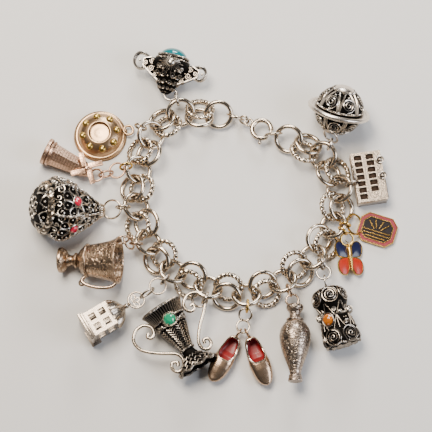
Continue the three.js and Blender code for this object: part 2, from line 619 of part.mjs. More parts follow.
// ---------------------------------------------------------------- amber fob
const amberFob = laid(
  'amber_fob',
  turned([
    { x: 0, r: 0 }, { x: 0, r: 2.6 }, { x: 1.6, r: 5.2 }, { x: 4.6, r: 5.6 }, { x: 7.6, r: 4.4 },
    { x: 10.6, r: 5.2 }, { x: 14.4, r: 5.7 }, { x: 17.6, r: 6.2 }, { x: 19.4, r: 4.8 },
    { x: 19.4, r: 0 },
  ]).scale(1, 1, 0.8),
  filigree,
  { x: 29.6, y: -28.6, heading: -74 },
);
const amberJump = jumpRing(21, 290);
const amberLoop = loopTo(amberJump, worldPoint(amberFob, 0.6, 0, 0), { soldered: true });
solder(amberFob, amberJump.geometry, amberLoop.geometry);
setIn(
  amberFob,
  'amber_stone',
  stone(1.9, 1.3).rotateY(-Math.PI / 2)
    .translate(10.6, 0, 5.2).rotateX(rad(-38)),
  amber,
);

// ---------------------------------------------------------------- butterfly
// A thin enamelled plate with a rounded body down the middle.
const wingPlate = plate([
  [-5.4, 3.6], [-3.6, 4.7], [-1.2, 4.4], [0.2, 2.4], [1.2, 3.6], [3.4, 4.3], [5.4, 3.2],
  [5.6, 1.6], [3.4, 0.5], [3.4, -0.5], [5.6, -1.6], [5.4, -3.2], [3.4, -4.3], [1.2, -3.6],
  [0.2, -2.4], [-1.2, -4.4], [-3.6, -4.7], [-5.4, -3.6], [-2.6, -0.9], [-2.6, 0.9],
], 1.1);
const butterflyBody = turned([
  { x: -4.4, r: 0 }, { x: -4.0, r: 0.7 }, { x: -2.6, r: 0.9 }, { x: 0, r: 0.8 },
  { x: 3.4, r: 0.5 }, { x: 4.2, r: 0 },
], 8).translate(0, 0, 1.0);
const butterfly = laid('butterfly', join(wingPlate, butterflyBody), enamel, {
  x: 37.0, y: -18.2, heading: -84, roll: -25,
});
const butterflyJump = jumpRing(23, 318, { turn: -13, r: 1.6, dip: 45 });
const butterflyLoop = loopTo(butterflyJump, worldPoint(butterfly, -4.0, 0, 1.1), { soldered: true });
solder(butterfly, butterflyJump.geometry, butterflyLoop.geometry);

// ---------------------------------------------------------------- tag
// An eight-sided enamelled plate.
const TAG = { long: 6.1, wide: 4.9, corner: 2.2, thick: 1.3 };
const tagOutline = [
  [TAG.long, TAG.wide - TAG.corner], [TAG.long - TAG.corner, TAG.wide],
  [TAG.corner - TAG.long, TAG.wide], [-TAG.long, TAG.wide - TAG.corner],
  [-TAG.long, TAG.corner - TAG.wide], [TAG.corner - TAG.long, -TAG.wide],
  [TAG.long - TAG.corner, -TAG.wide], [TAG.long, TAG.corner - TAG.wide],
];
const tag = laid('tag', plate(tagOutline, TAG.thick), redEnamel, {
  x: 46.4, y: -8.6, heading: -18,
});
const tagJump = jumpRing(23, 345, { turn: 15, r: 1.6, dip: 45 });
const tagLoop = loopTo(tagJump, worldPoint(tag, -TAG.long + 0.5, 1.0, 0.7), { soldered: true });
solder(tag, tagJump.geometry, tagLoop.geometry);

// ---------------------------------------------------------------- bus
// A double-decker bus lying on one side, its windows pressed in and its roof inwards.
const BUS = { long: 16.4, high: 9.6, wide: 5.4, recess: 0.7 };
const windowRow = (count, y) => Array.from({ length: count }, (_, i) =>
  box(1.6, 2.0, 2, -BUS.long / 2 + 1.7 + i * 2.15, y, BUS.wide + 1 - BUS.recess));
const wheel = (x) => new THREE.CylinderGeometry(1.15, 1.15, 0.6, 10)
  .rotateX(Math.PI / 2).translate(x, BUS.high / 2 - 0.9, BUS.wide + 0.1);
const bus = laid(
  'bus',
  join(
    cut(
      box(BUS.long, BUS.high, BUS.wide, 0, 0, BUS.wide / 2),
      ...windowRow(7, -2.7),
      ...windowRow(6, 1.1),
    ),
    wheel(-4.9),
    wheel(4.6),
  ),
  brightSilver,
  { x: 43.6, y: 7.9, heading: -81.5 },
);
const busJump = jumpRing(25, 20, { turn: 10, dip: 25 });
const busLoop = loopTo(busJump, worldPoint(bus, -4.6, -BUS.high / 2 + 0.3, 2.6), { soldered: true });
solder(bus, busJump.geometry, busLoop.geometry);

// ---------------------------------------------------------------- ringed ball
// A filigree ball with a smooth pole cap and a wire ring round its equator.
const GLOBE = { r: 7.9, ring: 9.5, ringWire: 1.5, web: 0.7 };
const globe = laid(
  'ringed_ball',
  join(
    new THREE.SphereGeometry(GLOBE.r, 14, 9).rotateX(Math.PI / 2),
    torus(GLOBE.ring, GLOBE.ringWire, 20),
    new THREE.CylinderGeometry(GLOBE.ring, GLOBE.ring, GLOBE.web, 20).rotateX(Math.PI / 2),
    new THREE.CylinderGeometry(1.5, 2.2, 1.0, 10).rotateX(Math.PI / 2).translate(0, 0, GLOBE.r),
  ),
  filigree,
  { x: 34.4, y: 29.2, heading: 74, pitch: 54 },
);
const globeJump = jumpRing(27, 80, { turn: 8 });
const globeLoop = loopTo(globeJump, worldPoint(globe, -5.0, 0.6, -6.0), { soldered: true });
solder(globe, globeJump.geometry, globeLoop.geometry);

// ---------------------------------------------------------------- origin
bracelet.updateMatrixWorld(true);
const whole = new THREE.Box3().setFromObject(bracelet, true);
bracelet.position.set(
  -(whole.min.x + whole.max.x) / 2,
  -(whole.min.y + whole.max.y) / 2,
  -whole.min.z,
);

export default bracelet;
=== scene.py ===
import json
import math

import bmesh
import bpy
import numpy as np
from mathutils import Matrix, Vector


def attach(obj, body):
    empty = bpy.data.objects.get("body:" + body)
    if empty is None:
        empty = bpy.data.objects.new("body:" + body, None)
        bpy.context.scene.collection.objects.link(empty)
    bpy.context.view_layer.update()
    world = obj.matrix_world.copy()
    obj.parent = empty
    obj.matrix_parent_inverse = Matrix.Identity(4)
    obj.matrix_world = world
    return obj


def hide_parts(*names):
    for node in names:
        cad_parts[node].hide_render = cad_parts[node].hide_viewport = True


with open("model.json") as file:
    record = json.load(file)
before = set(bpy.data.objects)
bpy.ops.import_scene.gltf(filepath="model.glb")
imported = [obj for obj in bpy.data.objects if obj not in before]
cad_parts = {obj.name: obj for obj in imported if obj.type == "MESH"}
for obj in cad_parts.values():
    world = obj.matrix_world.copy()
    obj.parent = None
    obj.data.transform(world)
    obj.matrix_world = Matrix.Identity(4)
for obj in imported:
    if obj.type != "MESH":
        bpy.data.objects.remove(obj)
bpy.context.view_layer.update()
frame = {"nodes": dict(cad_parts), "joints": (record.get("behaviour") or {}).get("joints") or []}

# ------------------------------------------------------------------ camera, floor and lights
# The bracelet lies on a plain pale table and is seen almost from above, from its front.
# Three soft boxes and a dim room give the silver light panels and darker gaps to reflect.
CAMERA_ELEVATION = math.radians(75)
CAMERA_DISTANCE = 0.62
VIEW_WIDTH = 0.1385
AIM = Vector((0.0006, 0.0003, 0.0))


def linear(hex_colour):
    """Turns an sRGB hex colour into the linear values that a shader takes."""
    parts = [int(hex_colour[i:i + 2], 16) / 255 for i in (1, 3, 5)]
    return tuple(c / 12.92 if c <= 0.04045 else ((c + 0.055) / 1.055) ** 2.4 for c in parts) + (1.0,)


camera_data = bpy.data.cameras.new("camera")
camera_data.lens = 36.0 * CAMERA_DISTANCE / VIEW_WIDTH
camera_data.clip_start = 0.01
camera = bpy.data.objects.new("camera", camera_data)
bpy.context.scene.collection.objects.link(camera)
back = Vector((0, -math.cos(CAMERA_ELEVATION), math.sin(CAMERA_ELEVATION)))
camera.location = AIM + back * CAMERA_DISTANCE
camera.rotation_euler = (-back).to_track_quat("-Z", "Y").to_euler()
bpy.context.scene.camera = camera


def soft_box(name, place, aim, size, watts, colour):
    """A square area light that faces `aim`."""
    light = bpy.data.lights.new(name, "AREA")
    light.size = size
    light.energy = watts
    light.color = linear(colour)[:3]
    lamp = bpy.data.objects.new(name, light)
    lamp.location = place
    lamp.rotation_euler = (Vector(aim) - Vector(place)).to_track_quat("-Z", "Y").to_euler()
    bpy.context.scene.collection.objects.link(lamp)


soft_box("key_light", (-0.13, 0.17, 0.46), (0, 0, 0), 0.26, 4.8, "#fff3e4")
soft_box("fill_light", (0.36, -0.08, 0.26), (0, 0, 0), 0.24, 1.5, "#eef3ff")
soft_box("back_light", (0.06, 0.42, 0.20), (0, 0, 0), 0.16, 1.5, "#ffffff")

room = bpy.data.worlds.new("room")
room.use_nodes = True
room.node_tree.nodes["Background"].inputs["Color"].default_value = linear("#8d8f94")
room.node_tree.nodes["Background"].inputs["Strength"].default_value = 0.32
bpy.context.scene.world = room

floor_mesh = bpy.data.meshes.new("floor")
floor_mesh.from_pydata([(-3, -3, 0), (3, -3, 0), (3, 3, 0), (-3, 3, 0)], [], [(0, 1, 2, 3)])
floor = bpy.data.objects.new("floor", floor_mesh)
bpy.context.scene.collection.objects.link(floor)
floor_paint = bpy.data.materials.new("pale_card")
floor_paint.use_nodes = True
floor_shader = floor_paint.node_tree.nodes["Principled BSDF"]
floor_shader.inputs["Base Color"].default_value = linear("#dcdad6")
floor_shader.inputs["Roughness"].default_value = 0.75
floor_mesh.materials.append(floor_paint)

# ------------------------------------------------------------------ sterling silver
# Chain and plain charms are sterling silver, drawn, cast or stamped, then polished.
# It looks near white where it is rubbed and warm brown-black in its hollows: partly tarnish where polish
# never reaches, partly painted shade.
MM = 0.001


def add_node(tree, kind, links=None, values=None, **settings):
    """Adds one shader node: its settings, its socket values, and what feeds its sockets."""
    made = tree.nodes.new(kind)
    for key, value in settings.items():
        setattr(made, key, value)
    for key, value in (values or {}).items():
        made.inputs[key].default_value = value
    for key, source in (links or {}).items():
        tree.links.new(source, made.inputs[key])
    return made


def tarnished_shaded_metal(
    name, bright, dark, roughness=0.2, reach=1.2, depth=0.75, grain=2.2, pits=0.05, engraving=None,
):
    """A polished metal whose hollows, within `reach` millimetres of other metal or the table, are dark:
    partly tarnish, partly painted shade.

    `engraving` may add nodes for a cut pattern and return their height, 0 in the cuts.
    """
    material = bpy.data.materials.new(name)
    material.use_nodes = True
    tree = material.node_tree
    shader = tree.nodes["Principled BSDF"]
    place = add_node(tree, "ShaderNodeAttribute", attribute_name="bench_mm").outputs["Vector"]
    # Broad cloudy toning, drawn at `grain` millimetres.
    cloud = add_node(
        tree, "ShaderNodeTexNoise", {"Vector": place},
        {"Scale": 1 / grain, "Detail": 4.0, "Roughness": 0.6},
    )
    # Ambient occlusion darkens hollows, gaps between parts and undersides near the table: partly tarnish,
    # partly painted shade.
    hollow = add_node(
        tree, "ShaderNodeAmbientOcclusion", None, {"Distance": reach * MM}, samples=8,
    )
    shut = add_node(
        tree, "ShaderNodeMapRange", {"Value": hollow.outputs["AO"]},
        {"From Min": 0.25, "From Max": 0.95, "To Min": 0.0, "To Max": 1.0},
        interpolation_type="SMOOTHSTEP",
    )
    toning = add_node(
        tree, "ShaderNodeMapRange", {"Value": cloud.outputs["Fac"]},
        {"From Min": 0.35, "From Max": 0.7, "To Min": 1.0, "To Max": 0.86},
    )
    clean_and_unshaded = add_node(
        tree, "ShaderNodeMath", {0: shut.outputs["Result"], 1: toning.outputs["Result"]},
        operation="MULTIPLY",
    )
    shade = add_node(
        tree, "ShaderNodeMapRange", {"Value": clean_and_unshaded.outputs[0]},
        {"From Min": 0.0, "From Max": 1.0, "To Min": 1 - depth, "To Max": 1.0},
    )
    colour = add_node(
        tree, "ShaderNodeMix", {"Factor": shade.outputs["Result"]}, None, data_type="RGBA",
    )
    colour.inputs[6].default_value = linear(dark)
    colour.inputs[7].default_value = linear(bright)
    tree.links.new(colour.outputs[2], shader.inputs["Base Color"])
    # Polish is best on the high places; hollows and toned patches stay matt.
    dull = add_node(
        tree, "ShaderNodeMapRange", {"Value": clean_and_unshaded.outputs[0]},
        {"From Min": 0.2, "From Max": 1.0, "To Min": roughness + 0.22, "To Max": roughness},
    )
    tree.links.new(dull.outputs["Result"], shader.inputs["Roughness"])
    # Handling marks about a third of a millimetre apart, drawn coarse enough to see.
    marks = add_node(
        tree, "ShaderNodeTexNoise", {"Vector": place},
        {"Scale": 1 / 0.33, "Detail": 3.0, "Roughness": 0.7},
    )
    bump = add_node(
        tree, "ShaderNodeBump", {"Height": marks.outputs["Fac"]},
        {"Strength": 0.35, "Distance": pits * MM},
    )
    if engraving:
        cut = engraving(tree, place)
        bump = add_node(
            tree, "ShaderNodeBump", {"Height": cut, "Normal": bump.outputs["Normal"]},
            {"Strength": 0.8, "Distance": 0.12 * MM},
        )
        inked = add_node(
            tree, "ShaderNodeMath", {0: clean_and_unshaded.outputs[0], 1: cut}, operation="MULTIPLY",
        )
        tree.links.new(inked.outputs[0], shade.inputs["Value"])
    tree.links.new(bump.outputs["Normal"], shader.inputs["Normal"])
    shader.inputs["Metallic"].default_value = 1.0
    return material


sterling = tarnished_shaded_metal("polished_sterling_silver", "#d0c0ab", "#33241a", 0.18, reach=1.7)

# ------------------------------------------------------------------ chain
# Rings of 1.4 mm round silver wire, cut, linked and soldered shut. Singles alternate with
# pairs, and one ring of each pair is made from wire that was twisted like a rope.
#
# A part is a pair: an array of points in millimetres, and faces that index them.


def tube(path, radius, sides=8, closed=False):
    """A round wire along `path`; its radius may be one number or one per point."""
    path = np.asarray(path, float)
    count = len(path)
    radii = np.broadcast_to(np.asarray(radius, float), (count,))
    ahead = np.roll(path, -1, 0) - path
    behind = path - np.roll(path, 1, 0)
    if not closed:
        ahead[-1] = behind[-1]
        behind[0] = ahead[0]
    run = ahead / np.linalg.norm(ahead, axis=1, keepdims=True)
    run = run + behind / np.linalg.norm(behind, axis=1, keepdims=True)
    run /= np.linalg.norm(run, axis=1, keepdims=True)
    spare = np.array([0, 0, 1.0]) if abs(run[0][2]) < 0.9 else np.array([1.0, 0, 0])
    side = np.cross(spare, run[0])
    side /= np.linalg.norm(side)
    sides_at = [side]
    for k in range(1, count):
        side = sides_at[-1] - run[k] * np.dot(sides_at[-1], run[k])
        sides_at.append(side / np.linalg.norm(side))
    across = np.array(sides_at)
    turn = np.zeros(count)
    if closed:
        # Spread the twist left over after one lap along the whole loop.
        last = across[-1] - run[0] * np.dot(across[-1], run[0])
        last /= np.linalg.norm(last)
        left = math.atan2(np.dot(np.cross(last, across[0]), run[0]), np.dot(last, across[0]))
        turn = np.arange(count) / count * left
    up_at = np.cross(run, across)
    angle = np.arange(sides) / sides * 2 * math.pi
    a = angle[None, :] + turn[:, None]
    ring = (np.cos(a)[..., None] * across[:, None, :] + np.sin(a)[..., None] * up_at[:, None, :])
    points = (path[:, None, :] + ring * radii[:, None, None]).reshape(-1, 3)
    faces = []
    laps = count if closed else count - 1
    for k in range(laps):
        n = (k + 1) % count
        for s in range(sides):
            t = (s + 1) % sides
            faces.append((k * sides + s, k * sides + t, n * sides + t, n * sides + s))
    if not closed:
        faces.append(tuple(range(sides))[::-1])
        faces.append(tuple((count - 1) * sides + s for s in range(sides)))
    return points, faces


def circle(r, steps, centre=(0, 0, 0), start=0.0):
    """Points round a circle in the XY plane, without the repeated end."""
    a = start + np.arange(steps) / steps * 2 * math.pi
    return np.stack([r * np.cos(a), r * np.sin(a), 0 * a], 1) + np.asarray(centre, float)


def moved(part, matrix):
    """The part, turned and moved by a 4 by 4 matrix."""
    points, faces = part
    m = np.array(matrix)
    return points @ m[:3, :3].T + m[:3, 3], faces


def twisted_wire_ring(r, thick, turns, steps=150, sides=12, swell=0.2):
    """A ring of wire that was twisted before it was bent: an oval section that turns."""
    u = np.arange(steps) / steps * 2 * math.pi
    v = np.arange(sides) / sides * 2 * math.pi
    uu, vv = np.meshgrid(u, v, indexing="ij")
    lobes = np.abs(np.cos(vv - turns * uu))
    section = thick / 2 * (0.72 + (0.28 + swell) * lobes ** 0.8)
    x = (r + section * np.cos(vv)) * np.cos(uu)
    y = (r + section * np.cos(vv)) * np.sin(uu)
    z = section * np.sin(vv)
    points = np.stack([x, y, z], -1).reshape(-1, 3)
    faces = []
    for k in range(steps):
        n = (k + 1) % steps
        for s in range(sides):
            t = (s + 1) % sides
            faces.append((k * sides + s, n * sides + s, n * sides + t, k * sides + t))
    return points, faces


def make(name, parts, material, replaced=(), matrix=None, crease=38, body="bracelet"):
    """Joins parts into one object, in the bracelet's frame, and gives it its body and finish."""
    points, faces, first = [], [], 0
    for part_points, part_faces in parts:
        points.append(part_points)
        faces.extend(tuple(first + i for i in face) for face in part_faces)
        first += len(part_points)
    points = np.concatenate(points)
    bench = points.astype(np.float32)
    if matrix is not None:
        points = points @ np.array(matrix)[:3, :3].T + np.array(matrix)[:3, 3]
    mesh = bpy.data.meshes.new(name)
    mesh.from_pydata((points * MM).tolist(), [], faces)
    # Each point keeps its place on the maker's bench, in millimetres, for patterns to follow.
    mesh.attributes.new("bench_mm", "FLOAT_VECTOR", "POINT").data.foreach_set("vector", bench.ravel())
    mesh.shade_smooth()
    mesh.set_sharp_from_angle(angle=math.radians(crease))
    mesh.materials.append(material)
    piece = bpy.data.objects.new(name, mesh)
    bpy.context.scene.collection.objects.link(piece)
    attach(piece, body)
    if replaced:
        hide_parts(*replaced)
    return piece


def basis(along, normal, centre=(0, 0, 0)):
    """A matrix whose X runs along `along` and whose Z is `normal` squared up to it."""
    x = np.asarray(along, float)
    x = x / np.linalg.norm(x)
    z = np.asarray(normal, float)
    z = z - x * np.dot(x, z)
    z = z / np.linalg.norm(z)
    m = np.eye(4)
    m[:3, 0], m[:3, 1], m[:3, 2], m[:3, 3] = x, np.cross(z, x), z, centre
    return m


def node_points(node):
    """A CAD node's points, in millimetres."""
    return np.array([v.co[:] for v in frame["nodes"][node].data.vertices]) / MM


WIRE = 1.4
RING_R = 4.15
PLACES = 29
PAIR_TILT = math.radians(33)
PAIR_SHIFT = 2.8
PAIR_STACK = 1.2
UP = np.array([0.0, 0.0, 1.0])

singles = {}
for number in range(1, PLACES + 1, 2):
    points = node_points(f"plain_link_{number:02d}")
    centre = points.mean(0)
    normal = np.linalg.svd(points - centre)[2][2]
    normal = normal if normal[2] > 0 else -normal
    singles[number] = {"centre": centre, "normal": normal}

loop_middle = np.mean([place["centre"] for place in singles.values()], 0)
for number, place in singles.items():
    nearest = singles[number + 2] if number < PLACES else place
    last = place if number < PLACES else singles[number - 2]
    along = np.cross(place["normal"], UP)
    along = along if np.dot(along, nearest["centre"] - last["centre"]) > 0 else -along
    place["along"] = along / np.linalg.norm(along)
    side = np.cross(place["normal"], place["along"])
    place["side"] = side if side[2] > 0 else -side
    make(
        f"ring_{number:02d}", [tube(circle(RING_R, 72), WIRE / 2, 14, True)], sterling,
        [f"plain_link_{number:02d}"], basis(place["along"], place["normal"], place["centre"]),
    )

for number in range(2, PLACES, 2):
    node = f"twin_link_{number:02d}"
    points = node_points(node)
    centre = (points.min(0) + points.max(0)) / 2
    along = singles[number + 1]["centre"] - singles[number - 1]["centre"]
    along[2] = 0
    along /= np.linalg.norm(along)
    outward = np.cross(UP, along)
    if np.dot(outward, centre - loop_middle) < 0:
        outward = -outward
    side = outward * math.cos(PAIR_TILT) - UP * math.sin(PAIR_TILT)
    normal = np.cross(along, side)
    normal = normal if normal[2] > 0 else -normal
    twisted_outside = 1 if number % 4 == 2 else -1
    half = side * PAIR_SHIFT / 2 + normal * PAIR_STACK / 2
    twisted = moved(
        twisted_wire_ring(RING_R, WIRE, 9),
        basis(along, normal, centre + half * twisted_outside),
    )
    plain = moved(
        tube(circle(RING_R, 72), WIRE / 2, 14, True),
        basis(along, normal, centre - half * twisted_outside),
    )
    make(f"ring_pair_{number:02d}", [twisted, plain], sterling, [node])

# ------------------------------------------------------------------ jump rings
# Small rings of round wire, bent and closed round a chain ring and a charm's loop.
# Most are silver with the ends soldered; two are brass-coloured gold plate.
RUN_GAP = 0.32


def towards(heading, dip=0.0):
    """A direction over the table, `heading` degrees round and `dip` degrees downwards."""
    h, d = math.radians(heading), math.radians(dip)
    return np.array([math.cos(h) * math.cos(d), math.sin(h) * math.cos(d), -math.sin(d)])


def jump_ring(number, heading, turn=0.0, dip=35.0, r=1.9, wire=0.8):
    """A ring hung on the outer wire of single ring `number`: its part and where it ends."""
    place = singles[number]
    a = math.radians(turn)
    held = place["centre"] + RING_R * (place["side"] * math.cos(a) + place["along"] * math.sin(a))
    run = place["along"] * math.cos(a) - place["side"] * math.sin(a)
    out = towards(heading, dip)
    reach = r - (WIRE + wire) / 2 - RUN_GAP
    middle = held + out * reach
    part = moved(tube(circle(r, 36), wire / 2, 10, True), basis(out, run, middle))
    return {"part": part, "far": middle + out * r, "normal": run, "wire": wire}


def loop_to(ring, target, wire=0.7, soldered=False):
    """A loop from the far side of `ring` to the point `target`, round its wire or fused to it."""
    way = target - ring["far"]
    out = way / np.linalg.norm(way)
    behind = wire * 0.4 if soldered else (ring["wire"] + wire) / 2 + RUN_GAP
    r = (np.linalg.norm(way) + behind) / 2
    middle = ring["far"] + out * (r - behind)
    normal = np.cross(out, ring["normal"])
    part = moved(tube(circle(r, 32), wire / 2, 10, True), basis(out, normal, middle))
    normal = normal / np.linalg.norm(normal)
    return {"part": part, "far": middle + out * r, "normal": normal, "wire": wire}


def links_to(ring, target, count):
    """`count` linked loops from `ring` to `target`, the last one fused to the charm."""
    loops = []
    start = ring["far"]
    for k in range(1, count + 1):
        ring = loop_to(ring, start + (target - start) * k / count)
        loops.append(ring)
    return loops


def ring_like(node):
    """The smooth ring that a CAD ring stands for, measured from its points."""
    points = np.unique(np.round(node_points(node), 4), axis=0)
    centre = points.mean(0)
    normal = np.linalg.svd(points - centre)[2][2]
    flat = points - centre - np.outer((points - centre) @ normal, normal)
    distance = np.linalg.norm(flat, axis=1)
    r = distance.mean()
    wire = np.sqrt(np.mean((distance - r) ** 2 + ((points - centre) @ normal) ** 2))
    first = flat[0] / np.linalg.norm(flat[0])
    return moved(tube(circle(r, 40), wire, 12, True), basis(first, normal, centre))


gold_plate = tarnished_shaded_metal("polished_gold_plate", "#e0b868", "#6b4a20", 0.18)
for node in ("dome_jump_ring", "lantern_jump_ring", "clasp_link_near", "clasp_link_far", "catch_ring"):
    make(node + "_wire", [ring_like(node)], sterling, [node])
for node in ("windmill_jump_ring", "clog_jump_ring"):
    make(node + "_wire", [ring_like(node)], gold_plate, [node])

# ------------------------------------------------------------------ spring-ring clasp
# A silver tube bent into a ring with an open mouth. A coil spring in its bore pushes a
# sliding bolt across the mouth, and a thumb lever on the bolt draws it back along a slot.
CLASP_R = 3.05
CLASP_TUBE = 1.6
TUBE_SIDES = 16
MOUTH = (-60, -5)
LEVER_AT = math.radians(-98)
clasp_middle = np.array(frame["joints"][0]["pos_m"]) / MM


def arc(from_degrees, to_degrees, r, steps):
    """Points along part of a circle in the XY plane."""
    a = np.radians(np.linspace(from_degrees, to_degrees, steps))
    return np.stack([r * np.cos(a), r * np.sin(a), 0 * a], 1)


def ball(centre, r, sides=14, stretch=(1, 1, 1)):
    """A round bead."""
    rows = sides // 2
    points = [(0, 0, 1)]
    for i in range(1, rows):
        b = math.pi * i / rows
        for j in range(sides):
            a = 2 * math.pi * j / sides
            points.append((math.sin(b) * math.cos(a), math.sin(b) * math.sin(a), math.cos(b)))
    points.append((0, 0, -1))
    faces = [(0, 1 + j, 1 + (j + 1) % sides) for j in range(sides)]
    for i in range(rows - 2):
        for j in range(sides):
            k = (j + 1) % sides
            a, b = 1 + i * sides, 1 + (i + 1) * sides
            faces.append((a + j, b + j, b + k, a + k))
    last = len(points) - 1
    base = 1 + (rows - 2) * sides
    faces += [(last, base + (j + 1) % sides, base + j) for j in range(sides)]
    return np.array(points) * r * np.array(stretch) + np.array(centre, float), faces


def tube_end(at, run, outer, inner, deep):
    """The open end of a bored tube: a flat lip and the start of the bore."""
    frame_at = basis(np.array([0, 0, 1.0]), run, at)
    rings = [(outer, 0.0), (inner, 0.0), (inner, -deep), (0.01, -deep)]
    points = []
    for r, z in rings:
        for s in range(TUBE_SIDES):
            a = 2 * math.pi * s / TUBE_SIDES
            points.append((r * math.cos(a), r * math.sin(a), z))
    faces = []
    for k in range(len(rings) - 1):
        for s in range(TUBE_SIDES):
            t = (s + 1) % TUBE_SIDES
            near, far = k * TUBE_SIDES, (k + 1) * TUBE_SIDES
            faces.append((near + s, near + t, far + t, far + s))
    return moved((np.array(points), faces), frame_at)


def open_tube(path, r):
    """A tube along `path` with no end caps."""
    points, faces = tube(path, r, TUBE_SIDES)
    return points, faces[:-2]


clasp_path = arc(MOUTH[1], MOUTH[0] + 360, CLASP_R, 90)
clasp_parts = [open_tube(clasp_path, CLASP_TUBE / 2)]
for end, inward in ((0, 1), (-1, -2)):
    run = clasp_path[end] - clasp_path[inward]
    clasp_parts.append(tube_end(clasp_path[end], run, CLASP_TUBE / 2, 0.5, 1.2))
eyelet_way = np.array([math.cos(math.radians(150)), math.sin(math.radians(150)), 0])
clasp_parts.append(tube(circle(1.2, 36, eyelet_way * (CLASP_R + 1.75)), 0.35, 10, True))
# A thin collar binds each end of the tube.
for degrees in (MOUTH[1] + 4, MOUTH[0] - 4):
    a = math.radians(degrees)
    at = np.array([math.cos(a), math.sin(a), 0]) * CLASP_R
    run = np.array([-math.sin(a), math.cos(a), 0])
    clasp_parts.append(moved(tube(circle(0.8, 20), 0.09, 6, True), basis([0, 0, 1.0], run, at)))
clasp_frame = np.eye(4)
clasp_frame[:3, 3] = clasp_middle
make("clasp_tube", clasp_parts, sterling, ["spring_ring"], clasp_frame)
# Near-black silver for the clasp's slot and the bus's recesses: painted shade where the real piece has dark
# gaps.
slot_shade_black = tarnished_shaded_metal("slot_and_recess_painted_shade", "#3a2f28", "#120d0a", 0.5)
make(
    "clasp_slot", [tube(arc(-164, -92, CLASP_R + 0.66, 20), 0.2, 8)], slot_shade_black,
    matrix=clasp_frame,
)
lever_way = np.array([math.cos(LEVER_AT), math.sin(LEVER_AT), 0])
bolt_path = arc(-130, 4, CLASP_R, 40)
bolt_r = np.full(40, 0.41)
bolt_r[:2] = (0.2, 0.35)
bolt_r[-2:] = (0.35, 0.2)
make(
    "clasp_bolt_and_lever",
    [
        tube(bolt_path, bolt_r, 12),
        tube([lever_way * (CLASP_R + d) for d in (0.2, 0.7, 1.2)], (0.2, 0.2, 0.24), 10),
        ball(lever_way * (CLASP_R + 1.55), 0.62, 16, (1, 1, 0.85)),
    ],
    sterling, ["clasp_bolt"], clasp_frame, body="bolt",
)


# ------------------------------------------------------------------ dome charm
# A shallow disc, stamped from sheet silver in steps, with gilt beads soldered round a cup.
def seat(node, heading, pitch=0.0, roll=0.0, **known):
    """The matrix from a charm's bench frame to its CAD node's place.

    `known` gives, for x, y and z, which side of the node's box is read in that frame
    ("lo", "mid" or "hi") and the bench coordinate that this side has.
    """
    turn = Matrix.Rotation(math.radians(heading), 3, "Z")
    turn = turn @ Matrix.Rotation(math.radians(pitch), 3, "Y")
    turn = np.array(turn @ Matrix.Rotation(math.radians(roll), 3, "X"))
    local = node_points(node) @ turn
    low, high = local.min(0), local.max(0)
    sides = {"lo": low, "mid": (low + high) / 2, "hi": high}
    shift = np.array([sides[side][k] - value for k, (side, value) in enumerate(known.values())])
    m = np.eye(4)
    m[:3, :3] = turn
    m[:3, 3] = turn @ shift
    return m


def smooth_profile(rows, steps=6):
    """A Catmull-Rom curve through (x, r) rows; a repeated row keeps its corner sharp."""
    rows = [np.array(row, float) for row in rows]
    out = [rows[0]]
    for k in range(len(rows) - 1):
        a, b = rows[k], rows[k + 1]
        if np.allclose(a, b):
            continue
        before = rows[k - 1] if k else a
        after = rows[k + 2] if k + 2 < len(rows) else b
        for t in np.linspace(0, 1, steps + 1)[1:]:
            p = 0.5 * (
                2 * a + (b - before) * t + (2 * before - 5 * a + 4 * b - after) * t ** 2
                + (3 * a - before - 3 * b + after) * t ** 3
            )
            out.append(p)
    return out


def turned(profile, sides=48, ripple=None):
    """A body turned about the X axis; `ripple(x, angle)` may scale its radius."""
    points, faces = [], []
    for x, r in profile:
        for s in range(sides):
            a = 2 * math.pi * s / sides
            k = max(r, 1e-4) * (ripple(x, a) if ripple else 1.0)
            points.append((x, -k * math.sin(a), k * math.cos(a)))
    for k in range(len(profile) - 1):
        for s in range(sides):
            t = (s + 1) % sides
            faces.append((k * sides + s, k * sides + t, (k + 1) * sides + t, (k + 1) * sides + s))
    return np.array(points), faces


satin_silver = tarnished_shaded_metal("stamped_satin_silver", "#bf9e7a", "#402b19", 0.28, reach=2.4)
DOME_R = 8.3
dome_at = seat("dome_charm", 190, x=("hi", DOME_R), y=("mid", 0), z=("lo", 0))
upright = Matrix.Rotation(-math.pi / 2, 4, "Y")
dome_profile = smooth_profile([
    (0.05, 0), (0.05, 0), (0.0, 7.9), (0.2, 8.25), (0.7, 8.35), (1.1, 8.2), (1.35, 7.8),
    (1.4, 7.45), (1.45, 7.3), (1.75, 7.2), (2.5, 6.9), (3.3, 6.4), (4.0, 5.6), (4.5, 4.7),
    (4.8, 3.95), (4.9, 3.6), (4.8, 3.35), (4.8, 3.35), (4.1, 3.2), (3.9, 3.0), (3.9, 3.0),
    (3.85, 2.0), (3.75, 1.0), (3.7, 0), (3.7, 0),
], 5)
dome_bail_parts = [
    tube(circle(1.5, 30, (-DOME_R - 1.0, 0, 1.6)), 0.42, 10, True),
    ball((-DOME_R + 0.1, 0, 1.1), 0.75, 14),
]
make(
    "dome_disc", [moved(turned(dome_profile, 72), upright)] + dome_bail_parts, satin_silver,
    ["dome_charm"], dome_at,
)
beads = []
for i in range(8):
    a = 2 * math.pi * i / 8
    beads.append(ball((5.5 * math.cos(a), 5.5 * math.sin(a), 4.05), 1.22, 18, (1, 1, 0.75)))
aged_gilt = tarnished_shaded_metal("soldered_gilt_silver", "#b89a54", "#4a3818", 0.28)
make("dome_beads", beads, aged_gilt, matrix=dome_at)

# ------------------------------------------------------------------ windmill
# A tower mill cast in rose-toned silver: eight sides chased with stone courses, a round
# cap, and four sails, each a thin plate with a spar and bars, on a riveted hub.


